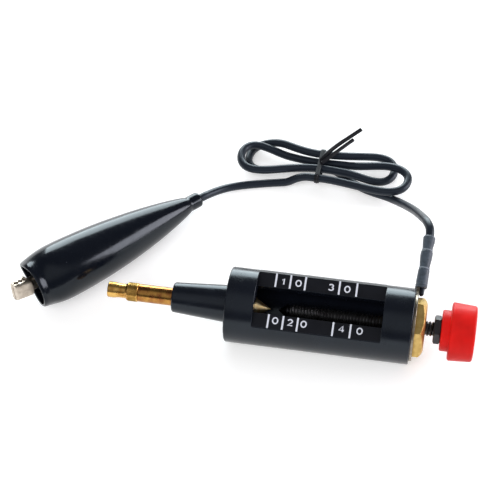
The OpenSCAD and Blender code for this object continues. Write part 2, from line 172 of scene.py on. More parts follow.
def rounded(corners: Sequence[Triple], steps: int = 5, loop: bool = False) -> list[Pair]:
    """Rounds the corners of an outline.

    Args:
        corners: Each corner's two coordinates and its fillet radius.
        steps: Straight stretches in each fillet.
        loop: Whether the outline closes on itself.

    Returns:
        The outline's points with an arc at each corner that has a radius.
    """
    nearly_straight, most = 0.499 * math.pi, 0.48
    out: list[Pair] = []
    count = len(corners)
    for i, (x, y, fillet) in enumerate(corners):
        here = Vector((x, y))
        back, ahead = (Vector(corners[j % count][:2]) - here for j in (i - 1, i + 1))
        plain = fillet <= 0 or (not loop and i in (0, count - 1))
        half = 0.0 if plain else back.angle(ahead) / 2
        if plain or half > nearly_straight:
            out.append((x, y))
            continue
        cut = min(fillet / math.tan(half), most * back.length, most * ahead.length)
        radius = cut * math.tan(half)
        back.normalize()
        ahead.normalize()
        centre = here + (back + ahead).normalized() * radius / math.sin(half)
        first, last = here + back * cut - centre, here + ahead * cut - centre
        for j in range(steps + 1):
            spot = centre + first.slerp(last, j / steps).normalized() * radius
            out.append((spot.x, spot.y))
    return out


def lathe(profile: Sequence[Pair], sides: int = 96, ring: bool = False) -> Shape:
    """Turns a profile about the X axis.

    Args:
        profile: Points of place along X and radius.
        sides: Faces round the axis.
        ring: Whether the last point joins the first, as in a tube.

    Returns:
        The turned shape.
    """
    shape = Shape()
    rows = []
    for x, r in profile:
        if r < 1e-6:
            rows.append(shape.row([Vector((x, 0, 0))]) * sides)
        else:
            rows.append(shape.row(about_x(x, r, math.tau * k / sides) for k in range(sides)))
    return shape.skin(rows, loop=ring)


def frames(path: Sequence[Vector], up: Vector, loop: bool = False) -> list[tuple[Vector, Vector]]:
    """Works out untwisted side and up directions along a path.

    Args:
        path: The path's points.
        up: The rough up direction at its start.
        loop: Whether the path closes on itself.

    Returns:
        A side and an up direction at each point.
    """
    out: list[tuple[Vector, Vector]] = []
    count = len(path)
    for i in range(count):
        if loop:
            along = path[(i + 1) % count] - path[i - 1]
        else:
            along = path[min(i + 1, count - 1)] - path[max(i - 1, 0)]
        along = along.normalized()
        side = along.cross(up).normalized()
        up = side.cross(along).normalized()
        out.append((side, up))
    return out


def sweep(path: Sequence[Vector], outline: Outline, up: Vector = Z, loop: bool = False) -> Shape:
    """Sweeps an outline along a path.

    Args:
        path: The path's points.
        outline: Gives the outline's side and up coordinates at a share 0 to 1 of the path.
        up: The rough up direction at the path's start.
        loop: Whether the path closes on itself.

    Returns:
        The swept shape, closed at its ends unless the path is a loop.
    """
    shape = Shape()
    rows = [shape.row(here + u * side + v * top for u, v in outline(i / (len(path) - 1)))
            for i, (here, (side, top)) in enumerate(zip(path, frames(path, up, loop)))]
    shape.skin(rows, loop=loop)
    if not loop:
        shape.faces += [tuple(rows[0]), tuple(reversed(rows[-1]))]
    return shape


def wire(path: Sequence[Vector], radius: float, sides: int, up: Vector = Z) -> Shape:
    """Sweeps a circle along a path."""
    section = circle(radius, sides)
    return sweep(path, lambda share: section, up)


def slab(outline: Sequence[Pair], low: float, high: float) -> Shape:
    """Extrudes an outline.

    Args:
        outline: Its points in X and Y.
        low: The height it starts at.
        high: The height it ends at.

    Returns:
        The closed shape, with the low points first.
    """
    count = len(outline)
    shape = Shape([Vector((x, y, z)) for z in (low, high) for x, y in outline])
    shape.faces += [tuple(reversed(range(count))), tuple(range(count, 2 * count))]
    for k in range(count):
        m = (k + 1) % count
        shape.faces.append((k, m, count + m, count + k))
    return shape


def smooth_path(points: Sequence[Triple], step: float = 0.8) -> list[Vector]:
    """Draws one smooth curve through points.

    Args:
        points: The points in millimetres.
        step: About how far apart the curve's own points are.

    Returns:
        The curve's points, the given ones among them.
    """
    given = [Vector(p) for p in points]
    ends = [2 * given[0] - given[1], *given, 2 * given[-1] - given[-2]]
    out: list[Vector] = []
    for a, b, c, d in zip(ends, ends[1:], ends[2:], ends[3:]):
        k0, k1, k2 = ((q - p).length ** 0.5 for p, q in ((a, b), (b, c), (c, d)))
        into = ((b - a) / k0 - (c - a) / (k0 + k1) + (c - b) / k1) * k1
        away = ((c - b) / k1 - (d - b) / (k1 + k2) + (d - c) / k2) * k1
        count = max(1, round((c - b).length / step))
        for i in range(count):
            t = i / count
            out.append((2 * t**3 - 3 * t**2 + 1) * b + (t**3 - 2 * t**2 + t) * into
                       + (3 * t**2 - 2 * t**3) * c + (t**3 - t**2) * away)
    out.append(given[-1])
    return out


# ---- Meshes ----


def show(name: str, data: bpy.types.ID) -> Object:
    """Links a new object to the scene.

    Args:
        name: The object's name.
        data: Its mesh, lamp or camera.

    Returns:
        The object.
    """
    obj = bpy.data.objects.new(name, data)
    bpy.context.scene.collection.objects.link(obj)
    return obj


def raw_mesh(name: str, shape: Shape) -> Mesh:
    """Makes a mesh from a shape.

    Args:
        name: The mesh's name.
        shape: The shape in millimetres.

    Returns:
        The mesh in metres.
    """
    mesh = bpy.data.meshes.new(name)
    mesh.from_pydata([p * MM for p in shape.points], [], shape.faces)
    return mesh


def clean(mesh: Mesh, near: float) -> None:
    """Joins a mesh's points where they meet and turns its faces outwards.

    Args:
        mesh: The mesh.
        near: How close points that meet are, in metres.
    """
    work = bmesh.new()
    work.from_mesh(mesh)
    bmesh.ops.remove_doubles(work, verts=work.verts, dist=near)
    bmesh.ops.recalc_face_normals(work, faces=work.faces)
    work.to_mesh(mesh)
    work.free()


def bake(obj: Object) -> None:
    """Turns an object's modifiers into its own plain mesh.

    Args:
        obj: The object.
    """
    mesh = bpy.data.meshes.new_from_object(obj.evaluated_get(bpy.context.evaluated_depsgraph_get()))
    mesh.name = obj.name
    obj.modifiers.clear()
    obj.data = mesh


@dataclass
class Piece:
    """One piece of the scene: its finish, the CAD nodes it stands for, what it rides on, and how its edges are."""

    name: str
    finish: "Finish"
    nodes: tuple[str, ...] = ()
    body: Body = Body.HOUSING
    bevel: float = 0.0
    segments: int = 2
    sharp: float = 33.0
    wall: float = 0.0
    margin: ClassVar[float] = 5.0

    def smooth(self, mesh: Mesh) -> None:
        """Shades a mesh smooth, with hard edges where it bends more sharply than the piece allows."""
        mesh.shade_smooth()
        mesh.set_sharp_from_angle(angle=math.radians(self.sharp + self.margin))

    def settle(self, obj: Object) -> Object:
        """Puts the finished object on the body it rides on, hides the CAD nodes it stands for, and logs it.

        Args:
            obj: The finished object.

        Returns:
            The same object.
        """
        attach(obj, self.body.value)
        if self.nodes:
            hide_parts(*self.nodes)
        LOG.info("%s rides on %s: %d faces", self.name, self.body.value, len(obj.data.polygons))
        return obj

    def build(self, shape: Shape, place: Matrix | None = None) -> Object:
        """Makes the piece from its shape.

        Args:
            shape: The piece in millimetres.
            place: From the shape's own directions to the row frame, where they differ.

        Returns:
            The finished object with its wall, broken edges, normals and material.
        """
        mesh = raw_mesh(self.name, shape if place is None else shape.put(place))
        clean(mesh, 2e-6)
        obj = show(self.name, mesh)
        if self.wall:
            solid = obj.modifiers.new("Wall", "SOLIDIFY")
            solid.thickness = self.wall * MM
            solid.offset = -1
            solid.use_even_offset = True
        if self.bevel:
            broken = obj.modifiers.new("Broken edges", "BEVEL")
            broken.width = self.bevel * MM
            broken.segments = self.segments
            broken.limit_method = "ANGLE"
            broken.angle_limit = math.radians(self.sharp)
            broken.use_clamp_overlap = False
            broken.miter_outer = "MITER_ARC"
        if obj.modifiers:
            bake(obj)
        self.smooth(obj.data)
        obj.modifiers.new("Normals", "WEIGHTED_NORMAL").keep_sharp = True
        bake(obj)
        obj.data.materials.clear()
        obj.data.materials.append(self.finish.material())
        return self.settle(obj)


# ---- Node trees ----


class Nodes:
    """A node tree, with short calls that fill it."""

    prefix: ClassVar[str] = "ShaderNode"

    def __init__(self, tree: bpy.types.NodeTree) -> None:
        """Takes the tree that is filled."""
        self.tree = tree

    def fill(self, socket: Socket, value: object) -> None:
        """Fills a node's input.

        Args:
            socket: The input.
            value: A value to set it to, or another socket to link it to.
        """
        if isinstance(value, Socket):
            self.tree.links.new(value, socket)
        else:
            socket.default_value = value

    def add(self, kind: str, inputs: dict[int | str, object] | None = None, **settings: object) -> Socket:
        """Adds a node.

        Args:
            kind: The node's type, without the tree's own prefix.
            inputs: Sockets or values for the node's inputs, by name or place.
            **settings: The node's own settings.

        Returns:
            The node's first output.
        """
        node = self.tree.nodes.new(kind if kind.startswith("ShaderNode") else self.prefix + kind)
        for key, value in settings.items():
            setattr(node, key, value)
        for key, value in (inputs or {}).items():
            self.fill(node.inputs[key], value)
        return node.outputs[0]


class Recipe(Nodes):
    """A geometry node tree with named sizes, which ends in Realize Instances and Set Material."""

    prefix: ClassVar[str] = "GeometryNode"

    def __init__(self, name: str, **sizes: str) -> None:
        """Starts the tree.

        Args:
            name: The tree's name.
            **sizes: Each input's name and its socket type, without the common prefix.
        """
        super().__init__(bpy.data.node_groups.new(name, "GeometryNodeTree"))
        sockets = self.tree.interface
        for key, kind in {"Geometry": "Geometry", **sizes, "finish": "Material"}.items():
            sockets.new_socket(key, in_out="INPUT", socket_type=f"NodeSocket{kind}")
        sockets.new_socket("Geometry", in_out="OUTPUT", socket_type="NodeSocketGeometry")
        self.given = self.tree.nodes.new("NodeGroupInput").outputs

    def times(self, first: Socket, second: object) -> Socket:
        """Multiplies two numbers."""
        return self.add("ShaderNodeMath", {0: first, 1: second}, operation="MULTIPLY")

    def end(self, result: Socket) -> "Recipe":
        """Closes the tree.

        Args:
            result: The tree's geometry, before its instances are made real.

        Returns:
            This tree.
        """
        real = self.add("RealizeInstances", {0: result})
        done = self.add("SetMaterial", {"Geometry": real, "Material": self.given["finish"]})
        self.tree.links.new(done, self.tree.nodes.new("NodeGroupOutput").inputs[0])
        return self

    def run(self, piece: Piece, source: Shape, place: Matrix, **sizes: float) -> Object:
        """Runs the tree on a shape and makes the result a plain mesh.

        Args:
            piece: What the result becomes.
            source: The shape that goes into the tree, in millimetres.
            place: Where the result goes, in millimetres.
            **sizes: The tree's inputs, in metres where they are lengths.

        Returns:
            The finished object.
        """
        obj = show(piece.name, raw_mesh(piece.name, source))
        made = obj.modifiers.new("Recipe", "NODES")
        made.node_group = self.tree
        values = {**sizes, "finish": piece.finish.material()}
        for item in self.tree.interface.items_tree:
            if item.in_out == "INPUT" and item.name in values:
                made[item.identifier] = values[item.name]
        bake(obj)
        clean(obj.data, 1e-7)
        piece.smooth(obj.data)
        metres = place.copy()
        metres.translation *= MM
        obj.data.transform(metres)
        return piece.settle(obj)


class Recipes:
    """The trees for what repeats on the tester: thread and spring, knurl and strands, and printed bars."""

    def __init__(self) -> None:
        """Builds the trees."""
        self.helix = self._helix()
        self.round_about = self._round_about()
        self.stamped = self._stamped()

    @staticmethod
    def _helix() -> Recipe:
        """Builds the helix of wire along X, joined to what goes in.

        Returns:
            The tree.
        """
        tree = Recipe("helix_along_x", radius="Float", pitch="Float", turns="Float", wire="Float", start="Float",
                      corners="Int", steps="Int")
        given = tree.given
        rise = tree.times(given["turns"], given["pitch"])
        line = tree.add("CurveSpiral", {
            "Resolution": given["steps"], "Rotations": given["turns"], "Start Radius": given["radius"],
            "End Radius": given["radius"], "Height": rise})
        line = tree.add("SetCurveNormal", {0: line}, mode="Z_UP")
        section = tree.add("CurvePrimitiveCircle", {"Resolution": given["corners"], "Radius": given["wire"]})
        coil = tree.add("CurveToMesh", {"Curve": line, "Profile Curve": section, "Fill Caps": True})
        start = tree.add("ShaderNodeCombineXYZ", {0: given["start"]})
        coil = tree.add("Transform", {"Geometry": coil, "Translation": start, "Rotation": (0, math.pi / 2, 0)})
        both = tree.add("JoinGeometry", {0: coil})
        tree.fill(both.node.inputs[0], given["Geometry"])
        return tree.end(both)

    @staticmethod
    def _round_about() -> Recipe:
        """Builds the copies of what goes in, turned in equal steps about X.

        Returns:
            The tree.
        """
        tree = Recipe("round_about_x", count="Int", turn="Float")
        spots = tree.add("MeshLine", {"Count": tree.given["count"], "Offset": (0, 0, 0)})
        angle = tree.times(tree.add("InputIndex"), tree.given["turn"])
        way = tree.add("ShaderNodeCombineXYZ", {0: angle})
        return tree.end(tree.add("InstanceOnPoints", {
            "Points": spots, "Instance": tree.given["Geometry"], "Rotation": way}))

    @staticmethod
    def _stamped() -> Recipe:
        """Builds the printed bar on each point of what goes in.

        Returns:
            The tree.
        """
        tree = Recipe("printed_bars", length="Float", width="Float", height="Float")
        half = tree.times(tree.given["length"], 0.5)
        ends = [tree.add("ShaderNodeCombineXYZ", {1: y}) for y in (tree.times(half, -1.0), half)]
        line = tree.add("CurvePrimitiveLine", {"Start": ends[0], "End": ends[1]})
        section = tree.add("CurvePrimitiveQuadrilateral", {
            "Width": tree.given["width"], "Height": tree.given["height"]})
        bar = tree.add("CurveToMesh", {"Curve": line, "Fill Caps": True, "Profile Curve": section})
        return tree.end(tree.add("InstanceOnPoints", {"Points": tree.given["Geometry"], "Instance": bar}))


class Shading(Nodes):
    """A shader tree, with the sums that materials and the world use."""

    def between(self, value: Socket, low: float, high: float, first: float, last: float) -> Socket:
        """Runs from one number at low to another at high, and stays there outside."""
        return self.add("MapRange", {0: value, 1: low, 2: high, 3: first, 4: last})

    def math(self, operation: str, first: object, second: object) -> Socket:
        """Works out one number from two."""
        return self.add("Math", {0: first, 1: second}, operation=operation)

    def shown(self) -> Socket:
        """Tells what is seen from what only lights.

        Returns:
            1 where the camera sees a thing itself, in a reflection or through glass, and 0 elsewhere.
        """
        ways = self.add("LightPath").node.outputs
        seen = self.math("MAXIMUM", ways["Is Camera Ray"], ways["Is Glossy Ray"])
        return self.math("MAXIMUM", seen, ways["Is Transmission Ray"])


class Graph(Shading):
    """A material's node tree, with short calls for the nodes that the finishes use."""

    def __init__(self, name: str) -> None:
        """Starts a material with its shader and object coordinates.

        Args:
            name: The material's name.
        """
        self.material = bpy.data.materials.new(name)
        self.material.use_nodes = True
        super().__init__(self.material.node_tree)
        self.shader = self.tree.nodes["Principled BSDF"]
        self.where = self.tree.nodes.new("ShaderNodeTexCoord").outputs["Object"]

    def set(self, **values: object) -> None:
        """Sets the shader's own sockets.

        Args:
            **values: A value, a colour or a link for each socket, with _ for a space in its name.
        """
        for key, value in values.items():
            colour = isinstance(value, tuple) and len(value) == 3
            self.fill(self.shader.inputs[key.replace("_", " ")], (*value, 1) if colour else value)

    def noise(self, size: float, detail: float, stretch: Triple = (1, 1, 1)) -> Socket:
        """Noise whose grains are about size millimetres, drawn out where stretch is below 1."""
        place = self.add("Mapping", {"Vector": self.where, "Scale": stretch})
        return self.add("TexNoise", {"Vector": place, "Scale": 1 / (size * MM), "Detail": detail})

    def ramp(self, value: Socket, low: float, high: float, first: Colour, last: Colour) -> Socket:
        """Runs from one colour to another.

        Args:
            value: The number that chooses the colour.
            low: Its value at the first colour.
            high: Its value at the last colour.
            first: The first colour.
            last: The last colour.

        Returns:
            The colour.
        """
        out = self.add("ValToRGB", {0: value})
        for stop, position, colour in zip(out.node.color_ramp.elements, (low, high), (first, last)):
            stop.position, stop.color = position, (*colour, 1)
        return out

    def around(self, value: Socket, middle: float, below: float, above: float) -> Socket:
        """Spreads the middle of a noise from a little below a number to a little above it."""
        return self.between(value, 0.3, 0.7, middle - below, middle + above)

    def bump(self, *layers: tuple[Socket, float]) -> Socket:
        """Stacks bump layers.

        Args:
            *layers: Each layer's height and its depth in millimetres.

        Returns:
            The normal.
        """
        normal = None
        for height, depth in layers:
            under = {"Normal": normal} if normal else {}
            normal = self.add("Bump", {"Height": height, "Distance": depth * MM, "Strength": 1.0, **under})
        return normal


# ---- Finishes ----


@dataclass(frozen=True)
class Finish:
    """What every finish has: its name, its slot name, and its main colour and roughness."""

    name: str
    slot: str
    colour: Colour
    roughness: float

    def material(self) -> bpy.types.Material:
        """Makes the finish's material on its first use.

        Returns:
            The material.
        """
        found = bpy.data.materials.get(f"{self.name}_look")
        if found:
            return found
        graph = Graph(f"{self.name}_look")
        graph.set(Base_Color=self.colour, Roughness=self.roughness)
        self.dress(graph)
        return graph.material

    def dress(self, graph: Graph) -> None:
        """Adds the finish's own detail.

        Args:
            graph: The material's tree.
        """
        raise NotImplementedError

    def shade(self, factor: float) -> Colour:
        """The main colour, made lighter or darker."""
        return tuple(min(1.0, c * factor) for c in self.colour)


@dataclass(frozen=True)
class MouldedPlastic(Finish):
    """Hard moulded plastic with a faint spark-eroded grain."""

    grain: float = 0.35
    depth: float = 0.004
    shine: float = 0.5
    tint: Colour = (1, 1, 1)

    def dress(self, graph: Graph) -> None:
        """Adds grain, slight waviness and faint handling marks.

        Args:
            graph: The material's tree.
        """
        fine, wide = graph.noise(self.grain, 4), graph.noise(9, 2)
        graph.set(Base_Color=graph.ramp(wide, 0.3, 0.7, self.shade(0.85), self.shade(1.2)),
                  Roughness=graph.around(graph.noise(4, 4), self.roughness, 0.05, 0.06),
                  Specular_IOR_Level=self.shine, Specular_Tint=self.tint,
                  Normal=graph.bump((wide, 0.02), (fine, self.depth)))


@dataclass(frozen=True)
class TurnedMetal(Finish):
    """Metal turned on a lathe about X, with fine tool rings and patches of tarnish."""

    tarnish: Colour
    rings: float = 0.0015

    def dress(self, graph: Graph) -> None:
        """Adds tool rings in the normal, tarnish in the colour and the roughness.

        Args:
            graph: The material's tree.
        """
        rings = graph.noise(0.12, 2, (1, 0.01, 0.01))
        graph.set(Base_Color=graph.ramp(graph.noise(2.2, 5), 0.38, 0.68, self.colour, self.tarnish), Metallic=1.0,
                  Roughness=graph.around(graph.noise(1.1, 5), self.roughness, 0.05, 0.1),
                  Normal=graph.bump((rings, self.rings), (graph.noise(0.5, 3), 0.0015)))


@dataclass(frozen=True)
class PressedSteel(Finish):
    """Plated sheet steel, with the soft mottling of a dipped plating."""

    stain: Colour = (0.4, 0.36, 0.3)

    def dress(self, graph: Graph) -> None:
        """Adds mottling, fine scratches and slight dents.

        Args:
            graph: The material's tree.
        """
        mottle = graph.noise(1.6, 5)
        scratches = graph.noise(0.25, 2, (0.06, 1, 1))
        graph.set(Base_Color=graph.ramp(mottle, 0.4, 0.75, self.colour, self.stain), Metallic=1.0,
                  Roughness=graph.around(mottle, self.roughness, 0.06, 0.12),
                  Normal=graph.bump((scratches, 0.003), (graph.noise(2.5, 2), 0.02)))


@dataclass(frozen=True)
class SoftVinyl(Finish):
    """Dipped or extruded soft vinyl: glossy, a little wavy, with dust specks."""

    wave: float = 5.0
    depth: float = 0.03
    tint: Colour = (1, 1, 1)
    shine: float = 0.3
    dust: Colour = (0.09, 0.1, 0.11)

    def dress(self, graph: Graph) -> None:
        """Adds slow waves, a fine skin and specks of dust.

        Args:
            graph: The material's tree.
        """
        waves, skin = graph.noise(self.wave, 2), graph.noise(0.4, 4)
        graph.set(Base_Color=graph.ramp(graph.noise(0.7, 6), 0.72, 0.8, self.colour, self.dust),
                  Roughness=graph.around(graph.noise(3, 4), self.roughness, 0.04, 0.05),
                  Specular_IOR_Level=self.shine, Specular_Tint=self.tint,
                  Normal=graph.bump((waves, self.depth), (skin, 0.002)))


@dataclass(frozen=True)
class ShrunkSleeve(Finish):
    """Heat-shrunk tubing: matt, finely ridged along and faintly marked where it gripped."""

    def dress(self, graph: Graph) -> None:
        """Adds ridges, grain and a dusty bloom.

        Args:
            graph: The material's tree.
        """
        ridges = graph.noise(0.5, 3, (1, 0.25, 0.35))
        bloom = graph.noise(1.4, 4)
        graph.set(Base_Color=graph.ramp(bloom, 0.35, 0.7, self.shade(0.8), self.shade(1.5)),
                  Roughness=graph.around(bloom, self.roughness, 0.06, 0.1), Sheen_Weight=0.25, Sheen_Roughness=0.4,
                  Normal=graph.bump((ridges, 0.05), (graph.noise(0.15, 3), 0.008)))


@dataclass(frozen=True)
class ScreenInk(Finish):
    """Screen-printed white ink with slightly uneven cover."""

    def dress(self, graph: Graph) -> None:
        """Adds thin places and a toothy surface.

        Args:
            graph: The material's tree.
        """
        cover = graph.noise(0.3, 4)
        graph.set(Base_Color=graph.ramp(cover, 0.25, 0.5, self.shade(0.8), self.colour),
                  Normal=graph.bump((cover, 0.006)))


class Finishes:
    """The finishes of the tester, by the piece that wears them."""

    barrel = MouldedPlastic("barrel_plastic", "barrel_plastic", (0.0045, 0.0056, 0.0095), 0.22,
                            depth=0.0012, shine=0.36, tint=(0.82, 0.93, 1.0))
    strip = MouldedPlastic("strip_film", "label_black", (0.0045, 0.005, 0.008), 0.34, grain=0.2, depth=0.002,
                           shine=0.34)
    ink = ScreenInk("white_ink", "label_black", (0.66, 0.68, 0.76), 0.5)
    terminal = TurnedMetal("terminal_brass", "terminal_brass", (0.78, 0.48, 0.14), 0.27, (0.46, 0.22, 0.05))
    knurl = TurnedMetal("knurled_brass", "terminal_brass", (0.68, 0.45, 0.13), 0.36, (0.42, 0.25, 0.06))
    rod = TurnedMetal("rod_brass", "rod_brass", (0.5, 0.26, 0.065), 0.2, (0.3, 0.11, 0.035))
    # Painted highlight: a paler copy of the terminal's brass, so that the fixed cone shines in the shade of the slot.
    cone = TurnedMetal("cone_brass_painted_highlight", "terminal_brass", (1.0, 0.84, 0.5), 0.32, (0.8, 0.55, 0.22))
    flange = TurnedMetal("flange_brass", "terminal_brass", (0.68, 0.48, 0.17), 0.46, (0.54, 0.35, 0.11))
    # The lug's dark brown colour and stain are partly its plating's own tone and partly painted shade of the gap
    # between barrel and flange.
    lug = PressedSteel("lug_steel", "lug_steel", (0.34, 0.3, 0.24), 0.3, (0.2, 0.16, 0.11))
    point = TurnedMetal("point_steel", "point_steel", (0.05, 0.05, 0.056), 0.3, (0.025, 0.022, 0.026))
    thread = TurnedMetal("black_thread", "nut_black", (0.2, 0.2, 0.205), 0.42, (0.11, 0.1, 0.105))
    nut = MouldedPlastic("black_nut", "nut_black", (0.009, 0.009, 0.011), 0.42, grain=0.3, depth=0.012)
    knob = MouldedPlastic("red_knob", "knob_red", (0.62, 0.008, 0.006), 0.42, grain=0.45, depth=0.002, shine=0.16)
    sleeve = ShrunkSleeve("sleeve_rubber", "sleeve_rubber", (0.042, 0.056, 0.074), 0.48)
    # Painted highlight: the lip is paler than its sleeve, to show the light ring of a rim catching the lamps.
    lip = MouldedPlastic("sleeve_lip_painted_highlight", "sleeve_rubber", (0.2, 0.23, 0.27), 0.5, grain=0.3, depth=0.01)
    lead = SoftVinyl("lead_vinyl", "lead_vinyl", (0.0115, 0.015, 0.0225), 0.34, wave=2.5, depth=0.006,
                     tint=(0.8, 0.92, 1.0))
    tie = SoftVinyl("tie_plastic", "tie_plastic", (0.008, 0.0085, 0.011), 0.36, wave=1.5, depth=0.02)
    boot = SoftVinyl("boot_vinyl", "boot_vinyl", (0.0032, 0.0044, 0.0078), 0.16, wave=9, tint=(0.86, 0.95, 1.0))
    jaw = PressedSteel("jaw_steel", "jaw_steel", (0.66, 0.58, 0.49), 0.38, (0.5, 0.42, 0.34))
    pin = PressedSteel("pin_steel", "pin_steel", (0.5, 0.5, 0.52), 0.26)
    copper = TurnedMetal("copper_strand", "pin_steel", (0.75, 0.3, 0.14), 0.26, (0.4, 0.14, 0.06))


# ---- The tester ----


@dataclass(frozen=True)
class Axis:
    """Places along the barrel's axis, in millimetres, as the CAD has them."""

    tip: float = -73.0
    rod: float = -60.6
    nozzle: float = -46.7
    barrel: float = -24.2
    bore: float = -15.2
    window: float = -12.9
    zero: float = -7.3
    point: float = -4.3
    lug: float = 48.6
    flange: float = 49.7
    neck: float = 53.7
    jam: float = 57.0
    collar: float = 59.8
    knob: float = 63.2
    end: float = 73.0
    height: float = 15.0

    @property
    def place(self) -> Matrix:
        """From a shape turned about X to the barrel's axis."""
        return moved(0, 0, self.height)


AXIS = Axis()


@dataclass
class Barrel:
    """The moulded barrel with its nozzle, window and slot."""

    radius: float = 15.0
    bore: float = 8.0
    rod_bore: float = 3.62
    nose: float = 5.95
    root: float = 7.55
    flat: float = 9.4
    slot: float = 5.55
    length: float = 50.0
    roll: float = 21.0
    shoulder: float = 0.8
    above: int = 34
    below: int = 86

    @property
    def window(self) -> Matrix:
        """From the window's own directions, X along it and Z out of it, to the row frame."""
        return moved(AXIS.window, 0, AXIS.height) @ turned(self.roll, "X")

    def angles(self, edge: float) -> list[float]:
        """Angles from the window's middle, with one exactly on each of its edges."""
        return [*(-edge + 2 * edge * k / self.above for k in range(self.above)),
                *(edge + (math.tau - 2 * edge) * k / self.below for k in range(self.below))]

    def shell(self) -> Shape:
        """Works out the barrel's skin, inside and out.

        Returns:
            The closed skin in the window's own directions.
        """
        shape = Shape()
        left, right = 0.0, self.length
        nozzle, step, face, wall = (x - AXIS.window for x in (AXIS.nozzle, AXIS.barrel, AXIS.lug, AXIS.bore))
        outer = rounded([(nozzle, self.rod_bore, 0), (nozzle, self.nose, 1.0), (step, self.root, 0.5),
                         (step, self.radius, self.shoulder), (left, self.radius, 0)])
        outer += rounded([(right, self.radius, 0), (face, self.radius, 0.5), (face, self.bore + 1, 0)])
        inner = [(face, self.bore), (right, self.bore), (left, self.bore), (wall, self.bore),
                 (wall, self.rod_bore + 0.5), (wall - 0.5, self.rod_bore)]
        edge, lip = math.acos(self.flat / self.radius), math.asin(self.slot / self.bore)
        rows = [shape.row(about_x(x, r, a) for a in self.angles(half)) for line, half in ((outer, edge), (inner, lip))
                for x, r in line]
        count = self.above + self.below
        holes = []
        for a, b in zip(rows, rows[1:] + rows[:1]):
            beside = {round(shape.points[row[0]].x, 4) for row in (a, b)} == {left, right}
            for k in range(self.above if beside else 0, count):
                m = (k + 1) % count
                shape.faces.append((a[k], b[k], b[m], a[m]))
            if beside:
                holes.append((a, b))
        outside, inside = holes[0], holes[1][::-1]
        corners = [shape.row(Vector((x, y, self.flat)) for y in (-self.slot, self.slot)) for x in (left, right)]
        for rim, lips, (low, high) in zip(outside, inside, corners):
            shape.faces.append((*rim[: self.above + 1], high, *reversed(lips[: self.above + 1]), low))
        for k, side in ((0, 0), (self.above, 1)):
            for near, far in (outside, inside):
                shape.faces.append((near[k], far[k], corners[1][side], corners[0][side]))
        return shape

    def build(self) -> None:
        """Makes the barrel."""
        Piece("barrel_body", Finishes.barrel, ("barrel",), bevel=0.35, segments=3).build(self.shell(), self.window)


@dataclass(frozen=True)
class Strip:
    """One printed strip: its side of the slot, how far its numbers lie off its middle, and both kinds of marks."""

    name: str
    side: int
    lift: float
    bars: tuple[float, ...]
    numbers: tuple[tuple[str, float], ...]


